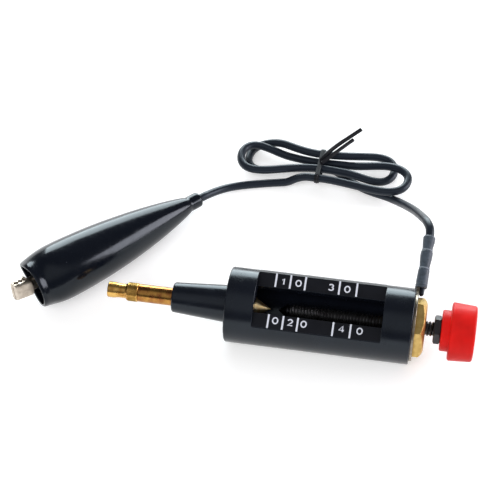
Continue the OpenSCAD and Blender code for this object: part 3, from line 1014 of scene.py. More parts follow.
@dataclass
class Scale:
    """The two printed strips beside the slot: bars at the gap's marks and plain numbers."""

    thickness: float = 0.2
    width: float = 5.8
    gap: float = 5.75
    wrap: float = 0.3
    proud: float = 0.06
    sunk: float = 0.1
    bar_width: float = 0.7
    stroke: float = 0.52
    high: float = 2.95
    wide: float = 2.5
    ink: float = 0.03
    strips: tuple[Strip, ...] = (
        Strip("upper", 1, -0.2, (1.2, 6.9, 12.75, 26.15, 32.95),
              (("1", 4.25), ("0", 10.1), ("3", 23.0), ("0", 29.3))),
        Strip("lower", -1, 0.5, (0.55, 6.3, 12.0, 25.8, 32.55),
              (("0", 3.3), ("2", 9.15), ("0", 14.4), ("4", 29.15), ("0", 36.15))))
    digits: ClassVar[dict[str, list[Pair]]] = {
        "0": circle(0.5, 28),
        "1": [(-0.28, 0.22), (0.06, 0.5), (0.06, -0.5)],
        "2": [*arc((-0.02, 0.2), (0.44, 0.3), 165, -17), (-0.44, -0.5), (0.5, -0.5)],
        "3": arc((-0.04, 0.25), (0.4, 0.25), 155, -19) + arc((-0.04, -0.24), (0.46, 0.26), 80, -20),
        "4": [(0.5, -0.22), (-0.5, -0.22), (0.22, 0.5), (0.22, -0.5)],
    }

    def number(self, digit: str, x: float, y: float) -> Shape:
        """Works out a digit's printed stroke.

        Args:
            digit: The digit.
            x: Where its middle is along the window.
            y: Where its middle is across the window.

        Returns:
            The stroke in the window's own directions.
        """
        half = self.stroke / 2
        flat = [(-half, -self.ink), (half, -self.ink), (half, self.ink), (-half, self.ink)]
        path = [Vector((x + u * (self.wide - self.stroke), y + v * (self.high - self.stroke), 0))
                for u, v in self.digits[digit]]
        return sweep(path, lambda share: flat, Z, digit == "0")

    def section(self, barrel: Barrel, middle: float, wraps: bool) -> list[Pair]:
        """Works out a strip's section.

        Args:
            barrel: The barrel under it.
            middle: Where its middle is across the window.
            wraps: Whether it goes on past the flat, round the barrel.

        Returns:
            The section, across the window and out from the barrel's axis.
        """
        half, film, top = self.width / 2, barrel.flat + 0.005, barrel.flat + self.thickness
        near = [(middle - half, film), (middle - half, top)]
        if not wraps:
            return [*near, (middle + half, top), (middle + half, film)]
        edge = math.acos(barrel.flat / barrel.radius)
        turns = [edge + self.wrap * k / 6 for k in range(1, 7)]
        over, under = ([(r * math.sin(a), r * math.cos(a)) for a in turns]
                       for r in (barrel.radius + self.proud, barrel.radius - self.sunk))
        corner = (barrel.radius + self.proud) * math.sin(edge)
        return [*near, (corner - 0.25, top), *over, *reversed(under), (corner - 0.05, film)]

    def build(self, recipes: Recipes, barrel: Barrel) -> None:
        """Makes both strips, their bars and their numbers.

        Args:
            recipes: The trees, for the bars.
            barrel: The barrel under them.
        """
        zero, print_at = AXIS.zero - AXIS.window, barrel.flat + self.thickness + 0.01
        ends = [Vector((x, 0, 0)) for x in (0.1, barrel.length - 0.1)]
        for strip in self.strips:
            middle = strip.side * (self.gap + self.width / 2)
            section = [(-y, z) for y, z in self.section(barrel, middle, strip.side > 0)]
            Piece(f"scale_strip_{strip.name}", Finishes.strip, (f"label_{strip.name}",)).build(
                sweep(ends, lambda share: section), barrel.window)
            spots = Shape([Vector((zero + x, middle, print_at)) for x in strip.bars])
            recipes.stamped.run(Piece(f"scale_bars_{strip.name}", Finishes.ink), spots, barrel.window,
                                length=(self.width - 0.1) * MM, width=self.bar_width * MM, height=0.05 * MM)
            numbers = Shape()
            for digit, x in strip.numbers:
                numbers.join(self.number(digit, zero + x, middle + strip.lift))
            Piece(f"scale_numbers_{strip.name}", Finishes.ink).build(numbers, barrel.window @ moved(0, 0, print_at))


@dataclass
class Terminal:
    """The coil terminal: turned end, knurled collar, rod, and the fixed point inside the barrel."""

    radius: float = 3.15
    waist: float = 2.85
    collar: float = 3.75
    rod: float = 3.6
    stud: float = 2.0
    tail: float = 1.45
    waist_from: float = -69.4
    waist_to: float = -64.9
    insert: float = 6.0
    shank: float = 1.5
    shank_to: float = 4.0
    ribs: int = 64
    rib_width: float = 0.3
    rib_crest: float = 0.3

    def knurl(self) -> Shape:
        """Works out one rib of the knurl, on the collar's top.

        Returns:
            The rib, narrower at its crest.
        """
        near, far, half = self.waist_to + 0.3, AXIS.rod - 0.7, self.rib_width / 2
        rib = slab([(near, -half), (far, -half), (far, half), (near, half)], self.collar - 0.2, self.collar)
        for point in rib.points[4:]:
            point.y *= self.rib_crest
        return rib

    def build(self, recipes: Recipes) -> None:
        """Makes the terminal's pieces.

        Args:
            recipes: The trees, for the knurl.
        """
        tip, rod, bore = AXIS.tip, AXIS.rod, AXIS.bore
        blank = self.collar - 0.1
        profile = rounded([
            (tip, 0.5, 0), (tip, self.radius, 0.35), (self.waist_from - 1.1, self.radius, 1.2),
            (self.waist_from + 0.9, self.waist, 1.4), (self.waist_to - 0.9, self.waist, 0.8),
            (self.waist_to - 0.05, blank, 0.3), (rod - 0.75, blank, 0), (rod - 0.7, self.collar, 0.1),
            (rod - 0.3, self.collar, 0.2), (rod, self.collar - 0.35, 0.1), (rod, self.stud, 0),
            (rod - self.insert, self.stud, 0), (rod - self.insert, 0, 0)])
        Piece("terminal_turned", Finishes.terminal, ("terminal_nut",)).build(
            lathe([(tip, 0), *profile], 112), AXIS.place)
        recipes.round_about.run(Piece("terminal_knurl", Finishes.knurl), self.knurl(), AXIS.place,
                                count=self.ribs, turn=math.tau / self.ribs)
        deep = bore - self.shank_to
        bar = rounded([(rod + self.insert, 0, 0), (rod + self.insert, self.stud, 0), (rod, self.stud, 0),
                       (rod, self.rod - 0.25, 0), (rod + 0.12, self.rod - 0.02, 0.1), (bore, self.rod, 0),
                       (bore, self.shank, 0), (deep, self.shank, 0), (deep, 0, 0)])
        Piece("terminal_bar", Finishes.rod, ("terminal_rod",)).build(lathe(bar), AXIS.place)
        cone = rounded([(deep, 0, 0), (deep, self.tail, 0), (bore, self.tail, 0), (bore, self.collar, 0.2),
                        (bore + 1.9, self.collar, 0.15), (AXIS.zero - 0.2, 0.25, 0.12), (AXIS.zero, 0, 0)])
        # The fixed cone's pale brass is a painted highlight.
        Piece("fixed_cone", Finishes.cone, ("fixed_point",)).build(lathe(cone, 72), AXIS.place)


def hex_bar(start: float, stop: float, across: float, bore: float, turn: float = 0.0, near: Sequence[Pair] = (),
            far: Sequence[Pair] = (), sides: int = 96) -> Shape:
    """Works out a hexagon with its corners turned down at both faces and a bore through it.

    Args:
        start: Where its first face is along X.
        stop: Where its last face is.
        across: Width across its flats.
        bore: Radius of its bore.
        turn: How far it is turned about X, in degrees.
        near: Depths from the first face, each with the radius that its corners are turned to.
        far: The same from the last face.
        sides: Points round it, a multiple of six.

    Returns:
        The hexagon about the X axis.
    """
    chamfer, sixth = 0.35, math.pi / 3
    corner, low = across / 2 / math.cos(sixth / 2) + 0.1, across * 0.49
    plain = [((corner - low) * k / 8, low + (corner - low) * k / 4) for k in range(5)]
    places = [(start, bore + chamfer), *((start + d, r) for d, r in near or plain),
              *((stop - d, r) for d, r in reversed(far or plain)), (stop, bore + chamfer), (stop - chamfer, bore),
              (start + chamfer, bore)]
    angles = [math.tau * k / sides for k in range(sides)]
    flats = [(a + sixth / 2, across / 2 / math.cos((a - sixth / 2) % sixth - sixth / 2)) for a in angles]
    shape = Shape()
    rows = [shape.row(about_x(x, min(limit, reach), a) for a, reach in flats) for x, limit in places]
    return shape.skin(rows, loop=True).put(turned(turn, "X"))


@dataclass
class Screw:
    """The threaded spindle with its moving point, the brass flange that it runs in, its jam nut and its knob."""

    core: float = 2.42
    pitch: float = 1.25
    ridge: float = 0.57
    start: float = 0.0
    stop: float = 70.0
    bore: float = 3.05
    plug: float = 7.98
    plug_from: float = 38.6
    across: float = 21.2
    flange_turn: float = -6.0
    cone: float = 2.75
    cone_to: float = 3.5
    shank: float = 1.5
    shank_to: float = 11.8
    nut: float = 10.0
    nut_bore: float = 3.02
    knob_collar: float = 8.1
    knob_low: float = 11.55
    knob_high: float = 10.95
    insert: float = 4.52
    insert_depth: float = 11.2
    crown: tuple[Pair, ...] = ((0.0, 8.7), (0.08, 9.2), (0.25, 9.75), (0.5, 10.3), (0.8, 10.8), (1.1, 11.3),
                               (1.4, 11.8), (1.7, 12.3))

    def build(self, recipes: Recipes) -> None:
        """Makes the flange, the spindle, its point, the nut and the knob.

        Args:
            recipes: The trees, for the thread.
        """
        plug = rounded([(self.plug_from, self.bore, 0), (self.plug_from, self.plug, 0.4),
                        (AXIS.flange, self.plug, 0), (AXIS.flange, self.bore, 0)])
        square = ((0.0, self.crown[-1][1]),)
        flange = hex_bar(AXIS.flange, AXIS.neck, self.across, self.bore, self.flange_turn, square, self.crown, 240)
        Piece("flange_and_plug", Finishes.flange, ("end_plug",), bevel=0.12).build(
            lathe(plug, 96, True).join(flange), AXIS.place)
        core = lathe([(self.start, 0), (self.start, 1.7), (self.start + 0.5, self.core),
                      (self.stop - 0.5, self.core), (self.stop, 1.9), (self.stop, 0)], 40)
        recipes.helix.run(Piece("threaded_spindle", Finishes.thread, ("spindle",), Body.SCREW, sharp=20), core,
                          AXIS.place, radius=self.core * MM, pitch=self.pitch * MM, wire=self.ridge * MM,
                          turns=(self.stop - self.start - 1.6) / self.pitch, start=(self.start + 0.8) * MM,
                          corners=4, steps=44)
        tip, rim = AXIS.point, AXIS.point + self.cone_to
        point = rounded([(tip, 0, 0), (tip + 0.15, 0.2, 0.1), (rim, self.cone, 0.2), (rim + 0.5, self.cone, 0.1),
                         (rim + 0.5, self.shank, 0), (tip + self.shank_to, self.shank, 0),
                         (tip + self.shank_to, 0, 0)])
        Piece("moving_cone", Finishes.point, ("moving_point",), Body.CARRIER).build(lathe(point, 72), AXIS.place)
        Piece("jam_hexagon", Finishes.nut, ("jam_nut",), Body.SCREW, bevel=0.1).build(
            hex_bar(AXIS.jam, AXIS.collar, self.nut, self.nut_bore), AXIS.place)
        low, high, depth = AXIS.collar, AXIS.end, AXIS.collar + self.insert_depth
        knob = rounded([(depth, 0, 0), (depth, self.insert, 0), (low, self.insert, 0), (low, self.knob_collar, 0.7),
                        (AXIS.knob, self.knob_collar, 0.35), (AXIS.knob, self.knob_low, 0.9),
                        (high, self.knob_high, 1.1), (high, 5.2, 0.3), (high - 0.5, 4.8, 0.3), (high - 0.5, 0, 0)], 6)
        Piece("knob_moulding", Finishes.knob, ("knob",), Body.SCREW).build(lathe(knob, 128), AXIS.place)


@dataclass(frozen=True)
class Sleeve:
    """One shrunk sleeve: its outer profile of place, radius and rounding, its bore and its lower end's slant."""

    name: str
    profile: tuple[Triple, ...]
    bore: float
    slant: float
    lip: bool = True
    slant_to: float = 2.6
    unevenness: Pair = (0.018, 0.01)

    def tube(self, outer: Sequence[Pair]) -> Shape:
        """Works out the sleeve, a little uneven, with its lower end slanted on the knob's side.

        Args:
            outer: The rounded profile.

        Returns:
            The sleeve about the X axis.
        """
        tube = lathe([(outer[0][0], self.bore), *outer, (outer[-1][0], self.bore)], 48, True)
        for p in tube.points:
            if math.hypot(p.y, p.z) > self.bore + 0.05:
                slow, quick = self.unevenness
                swell = 1 + slow * noise.noise(p * 0.55) + quick * noise.noise(p * 1.7)
                p.y *= swell
                p.z *= swell
            p.x += self.slant * max(0, -p.z / 2.4 - 0.2) * (1 - step_up(0, self.slant_to, p.x - outer[0][0]))
        return tube

    def build(self, place: Matrix) -> None:
        """Makes the sleeve and the lip of its lower end, whose pale colour is a painted highlight.

        Args:
            place: From the sleeve's own directions to the row frame.
        """
        outer = rounded(self.profile, 4)
        node = (f"sleeve_{self.name}",)
        Piece(f"shrunk_sleeve_{self.name}", Finishes.sleeve, node, sharp=40).build(self.tube(outer), place)
        if self.lip:
            # The lip's pale finish is a painted highlight.
            low, wide = outer[0]
            lip = rounded([(low - 0.04, wide - 0.25, 0), (low - 0.04, wide + 0.3, 0.1),
                           (low + 0.34, wide + 0.3, 0.1), (low + 0.34, wide - 0.25, 0)], 3, True)
            Piece(f"shrunk_sleeve_{self.name}_lip", Finishes.lip, node, sharp=40).build(lathe(lip, 48), place)


@dataclass
class Lug:
    """The ring lug under the flange, its crimp, and the three shrunk sleeves over the lead's start."""

    turn: float = 25.0
    across: float = 13.5
    hole: float = 8.15
    sheet: float = 1.1
    crimp_x: float = 50.2
    crimp_from: float = 16.4
    crimp_to: float = 24.0
    crimp: float = 1.95
    crimp_bore: float = 1.0
    lean: float = 2.6
    fold: float = 0.98
    tongue: tuple[Triple, ...] = ((12.0, 3.4, 0.0), (13.4, 2.6, 0.0), (14.4, 2.15, 0.0), (15.4, 2.0, 0.0),
                                  (16.6, 1.9, 0.1), (18.0, 1.6, 0.6))
    sleeves: tuple[Sleeve, ...] = (
        Sleeve("lower", (
            (15.8, 2.0, 0), (15.8, 2.32, 0.15), (16.3, 2.44, 0.12), (16.75, 2.28, 0.12), (17.15, 2.42, 0.12),
            (17.7, 2.3, 0.2), (18.4, 2.36, 0.3), (21.0, 2.3, 2), (23.6, 2.24, 0.5), (24.05, 2.05, 0)),
            1.97, 0.9, False),
        Sleeve("middle", (
            (24.1, 1.9, 0), (24.1, 2.06, 0.1), (24.5, 2.12, 0.12), (24.9, 2.02, 0.2), (26.6, 2.2, 1.5),
            (29.4, 2.44, 1.5), (31.2, 2.42, 0.5), (31.75, 2.12, 0)), 1.85, 0.25),
        Sleeve("upper", (
            (31.8, 1.9, 0), (31.8, 2.06, 0.1), (32.15, 2.12, 0.12), (32.6, 2.05, 0.2), (34.0, 2.2, 0.8),
            (35.6, 2.43, 1.0), (37.4, 2.44, 0.4), (38.0, 2.05, 0)), 1.85, 0.3))

    @property
    def place(self) -> Matrix:
        """From the lug's own directions, Z along its tongue, to the row frame."""
        return moved(self.crimp_x, 0, AXIS.height) @ turned(self.turn, "X") @ turned(-90, "X")

    @property
    def leaning(self) -> Matrix:
        """The same for the crimp and its sleeves, which lean towards the knob, with X along them."""
        lean = turned(self.lean - 90, "Y")
        return self.place @ moved(0, 0, self.crimp_from) @ lean @ moved(-self.crimp_from)

    def strap(self) -> Shape:
        """Works out the tongue that narrows from the ring to the crimp.

        Returns:
            The tongue in the lug's own directions.
        """
        shape, low = Shape(), AXIS.lug - self.crimp_x
        rows = []
        for z, half, lift in self.tongue:
            under, over = low + lift, low + lift + self.sheet
            rows.append(shape.row(Vector((x, y, z)) for x, y in (
                (under, half), (over, half), (over, -half), (under, -half))))
        shape.skin(rows)
        shape.faces += [tuple(rows[0]), tuple(rows[-1])]
        return shape

    def build(self) -> None:
        """Makes the ring with its tongue and crimp, the sleeves, and a rounded dark lump on the tongue by the crimp.
        """
        washer = rounded([(AXIS.lug, self.hole, 0.15), (AXIS.lug, self.across, 0.25),
                          (AXIS.flange, self.across, 0.25), (AXIS.flange, self.hole, 0.15)], 4, True)
        crimp = rounded([(self.crimp_from, self.crimp_bore, 0.1), (self.crimp_from, self.crimp, 0.2),
                         (self.crimp_to, self.crimp, 0.2), (self.crimp_to, self.crimp_bore, 0.1)], 3, True)
        lug = lathe(washer, 112, True).put(AXIS.place)
        lug.join(self.strap().put(self.place)).join(lathe(crimp, 40, True).put(self.leaning))
        Piece("ring_lug_plated", Finishes.lug, ("ring_lug",), bevel=0.12, sharp=38).build(lug)
        for sleeve in self.sleeves:
            sleeve.build(self.leaning)
        # A rounded dark lump in the lead's finish, on the tongue just short of the crimp.
        stub = [self.place @ Vector((0.32 + 0.03 * k, 0.1, 12.8 + 0.4 * k)) for k in range(10)]
        skin = sweep(stub, lambda share: circle(self.fold * math.sqrt(1 - max(0, 0.97 - 3.5 * share) ** 2), 20), X)
        Piece("dark_lump_by_crimp", Finishes.lead, sharp=50).build(skin)


@dataclass
class Boot:
    """The soft boot over the clip: a thin shell with a slanting, flared mouth."""

    tail: Triple = (-49.1, 65.4, 6.0)
    yaw: float = 231.2
    pitch: float = 5.7
    length: float = 89.0
    neck: float = 3.3
    neck_to: float = 6.0
    widest: float = 12.0
    widest_at: float = 75.0
    mouth: float = 9.75
    wall: float = 1.2
    cord_bore: float = 1.9
    cord_to: float = 9.0
    edge_from: float = 87.8
    slant_from: float = 70.0
    setback: float = 1.5
    slant: float = 3.05
    slant_side: float = 35.0
    skew: float = 0.6
    skew_side: float = 90.0
    bow: float = 0.35
    flare: float = 0.95
    throat: float = 1.1
    throat_at: float = 84.0
    lip_side: float = 50.0
    squareness: float = 0.025
    dent: float = 0.02
    dent_at: float = 79.0
    waviness: float = 0.006

    @property
    def place(self) -> Matrix:
        """From the boot's own directions, X along it from its tail, to the row frame."""
        return moved(*self.tail) @ (turned(self.yaw, "Z") @ turned(-self.pitch, "Y"))

    def along(self, s: float) -> Vector:
        """A point of the boot's axis."""
        return self.place @ Vector((s, 0, 0))

    def radius(self, s: float) -> float:
        """Works out the boot's outer radius.

        Args:
            s: The station, from the boot's tail.

        Returns:
            The radius there.
        """
        if s < self.neck_to:
            return self.neck
        if s < self.widest_at:
            share = math.pi / 2 * (s - self.neck_to) / (self.widest_at - self.neck_to)
            return self.neck + (self.widest - self.neck) * math.sin(share) ** 0.8
        share = math.pi / 2 * (s - self.widest_at) / (self.length - self.widest_at)
        return self.mouth + (self.widest - self.mouth) * math.cos(share)

    def cut(self, angle: float) -> float:
        """How far past the plain length the mouth's slanting edge lies, by the angle from its top."""
        slant = self.slant * math.cos(angle - math.radians(self.slant_side))
        return -self.setback + slant - self.skew * math.cos(2 * angle - math.radians(self.skew_side))

    def tube(self) -> Shape:
        """Works out the plain turned shell.

        Returns:
            The shell along X, square at its mouth.
        """
        stations = [0, 0.25, 1, 3, 5, 6, 6.6, 7.5, 9, 11, 14, *range(17, 73, 3), *range(74, 87, 2), 87.4, 88.4, 88.9]
        outer, inner = [], []
        for s in stations:
            past = max(0, s - self.edge_from)
            start = 0.35 if s < 0.1 else 0.1 if s < 0.5 else 0
            outer.append((s, self.radius(s) - start - past ** 2 * 0.25))
            if s > 10:
                inner.insert(0, (s - (0.1 if s > 88 else 0), self.radius(s) - self.wall + past * 0.12))
        bore = [(self.cord_to, self.cord_bore), (0, self.cord_bore)]
        return lathe([*outer, (self.length, self.mouth - 0.6), *inner, *bore], 112, True)

    def soften(self, p: Vector) -> None:
        """Moves a point of the plain shell: the mouth slants and flares, and the skin is squarer, dented and wavy.

        Args:
            p: The point, which is changed.
        """
        around, across = math.atan2(p.y, p.z), math.hypot(p.y, p.z)
        share = step_up(self.slant_from, self.length, p.x)
        x = p.x + share * self.cut(around)
        scale = 1 + (self.radius(x) - self.radius(p.x)) / across if share else 1
        facing = max(0, math.cos(around - math.radians(self.lip_side)))
        lip = self.flare * bell(p.x, self.length, 2.3) - self.throat * bell(p.x, self.throat_at, 2.5)
        scale *= 1 + facing * lip / across
        p.x, p.y, p.z = x, p.y * scale, p.z * scale
        angle = math.atan2(p.z, p.y)
        square = 1 + share * self.squareness * math.cos(4 * angle + 0.6)
        dent = 1 - self.dent * bell(p.x, self.dent_at, 4) * max(0, math.cos(angle - 0.6))
        wave = 1 + self.waviness * noise.noise(Vector((p.x * 0.09, 0.08 * p.y, 0.08 * p.z)))
        p.y *= square * dent * wave
        p.z *= square * dent * wave
        p.y += self.bow * math.sin(math.pi * min(max(p.x / self.length, 0), 1))

    def build(self) -> Object:
        """Makes the boot.

        Returns:
            The boot, thin-walled and open at its mouth.
        """
        shape = self.tube()
        for p in shape.points:
            self.soften(p)
        return Piece("boot_skin", Finishes.boot, ("boot",), sharp=50).build(shape, self.place)


@dataclass
class Hank:
    """The lead's route: up from the lug, through the tied hank, and on to the boot.

    Each half loop has its side, its reach, how far its leaving and its coming strand bulge, its shift, its height,
    and from which share of its reach each strand rises.
    """

    y: float = 94.5
    radius: float = 1.75
    waist: tuple[Pair, ...] = ((2.1, 2.75), (7.7, 6.35), (-1.7, 6.35), (6.1, 2.75), (-7.8, 6.35))
    half_loops: tuple[tuple[float, ...], ...] = (
        (-1, 32.6, 14.7, 18.2, 0.3, 1.8, 0.5, 0.5), (1, 32.4, 14.7, 12.4, 2.3, 2.9, 0, 0.35),
        (-1, 35.3, 16.9, 14.3, -1.2, 7.1, 0.1, 0.4), (1, 39.1, 7, 14.8, -3.3, 8, 0.3, 0.2))
    rise: tuple[Triple, ...] = (
        (50.55, 22, 25.25), (50.85, 28, 28.05), (51.2, 34.4, 31.05), (50.9, 37.8, 32.1), (49.5, 42.2, 31.2),
        (47.4, 48.8, 27.2), (44.8, 57.6, 21), (41.6, 66.4, 14.6), (38.1, 74.6, 8.4), (34.7, 79.8, 4.9),
        (31.4, 82.9, 3.2), (28.2, 84.8, 2.3), (25, 86.2, 1.85), (21.8, 87.4, 1.75), (18.4, 89, 1.75),
        (14.5, 91.4, 1.75), (10, 94.6, 1.9), (6.7, 96.3, 2.5), (4.6, 96.6, 2.75), (3.5, 96.6, 2.75))
    run: tuple[Triple, ...] = (
        (-3.5, 86.7, 6.35), (-4.7, 86.7, 6.35), (-7, 86.6, 5.9), (-9.9, 86.4, 4.6), (-13.2, 86.1, 2.6),
        (-16.8, 85.8, 1.85), (-20.6, 85, 1.75), (-24.6, 83.9, 1.75), (-28.4, 82.8, 1.75), (-32.2, 81.5, 1.8),
        (-35.8, 79.8, 2.1), (-39.3, 77.3, 2.8), (-42.6, 74, 3.8), (-45.7, 70, 5))
    in_boot: tuple[float, ...] = (-3.5, 0, 9, 18, 27, 36, 45, 55)

    def point(self, loop: int, share: float) -> Vector:
        """Works out a point of the hank.

        Args:
            loop: The half loop's number.
            share: How far along it the point is, from 0 at one crossing of the waist to 1 at the next.

        Returns:
            The point of the lead's centreline.
        """
        side, reach, out, back, shift, high, from_out, from_back = self.half_loops[loop]
        (y0, z0), (y1, z1) = self.waist[loop], self.waist[loop + 1]
        s, c = math.sin(math.pi * share), math.cos(math.pi * share)
        bulge, low, base = (out, from_out, z0) if share < 0.5 else (back, from_back, z1)
        half = (y0 - y1) / 2
        across = c * (half + math.copysign(bulge, half) * s * s) + shift * s * s
        return Vector((side * reach * s, self.y + (y0 + y1) / 2 + across, base + (high - base) * step_up(low, 1, s)))

    def path(self, boot: Boot) -> list[Vector]:
        """Works out the whole lead's centreline.

        Args:
            boot: The boot that the lead ends in.

        Returns:
            The centreline's points, from the crimp to the clip.
        """
        steps = 40
        loops = [self.point(k, i / steps) for k in range(len(self.half_loops)) for i in range(steps)]
        last = self.point(len(self.half_loops) - 1, 1)
        into = [loops[0] + Vector((x, 0, 0)) for x in (3.5, 1.7)]
        run = smooth_path([*self.run, *(boot.along(s) for s in self.in_boot)])
        return [*smooth_path(self.rise)[:-1], *into, *loops, last, last - Vector((1.8, 0, 0)), *run]

    def build(self, boot: Boot, with_pieces: Sequence[Object | str]) -> None:
        """Args:
            boot: The boot that the lead ends in.
            with_pieces: The separate pieces on the lead; not used.
        """
        path = self.path(boot)
        lead = Piece("lead", Finishes.lead, ("lead_rise", "lead_hank", "lead_run"), sharp=60).build(
            wire(path, self.radius, 22))
        length = sum((b - a).length for a, b in zip(path, path[1:]))
        LOG.info("the lead is %.1f mm long", length)
        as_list(with_pieces)


@dataclass
class Tie:
    """The twist tie round the hank's waist, with its two free ends."""

    wide: float = 2.0
    thick: float = 0.55
    around: float = 2.15
    slant: float = 0.35
    long: tuple[Triple, ...] = ((0, 95.5, 8.7), (2, 98, 10.4), (6, 103, 11.6), (11, 108.2, 12.8), (15.8, 113, 14))
    short: tuple[Triple, ...] = ((0.7, 94, 8.7), (4, 97.4, 10.0), (8, 102.2, 10.9), (12.9, 108.2, 11.7))

    def ribbon(self, width: float, turns: float, start: float, thin: float) -> Outline:
        """Works out the tie's outline, a flat strip with a wire down its middle.

        Args:
            width: The strip's width.
            turns: How many turns it makes along its length.
            start: Its first angle, in radians.
            thin: Half the strip's thickness.

        Returns:
            The outline at each share of the length.
        """
        half, core = width / 2, max(self.thick / 2, 1.5 * thin)
        edge = [(-half, -thin), (-core, -thin), (-core * 0.6, -core), (core * 0.6, -core), (core, -thin),
                (half, -thin)]
        outline = edge + [(-x, -y) for x, y in edge]

        def at(share: float) -> list[Pair]:
            """The outline at one share of the length."""
            a = start + turns * math.tau * share
            return [(x * math.cos(a) - y * math.sin(a), x * math.sin(a) + y * math.cos(a)) for x, y in outline]

        return at

    def build(self, hank: Hank) -> Object:
        """Makes the strap and both ends as one piece.

        Args:
            hank: The hank inside the strap.

        Returns:
            The tie.
        """
        ring = circle(self.around, 36)
        dots = [Vector((hank.y + y + c, z + s)) for y, z in hank.waist for c, s in ring]
        loop = [Vector((0, *dots[i])) for i in geometry.convex_hull_2d(dots)]
        shape = sweep(loop, self.ribbon(self.wide, 0, math.pi / 2, 0.14), X, True)
        for p in shape.points:
            p.x += self.slant * (p.y - hank.y) / 8
        shape.join(sweep(smooth_path(self.long, 0.5), self.ribbon(1.7, 0.08, 2.0, 0.3)))
        shape.join(sweep(smooth_path(self.short, 0.5), self.ribbon(1.6, 0.08, 2.1, 0.3)))
        return Piece("tie", Finishes.tie, ("twist_tie",), sharp=40).build(shape)


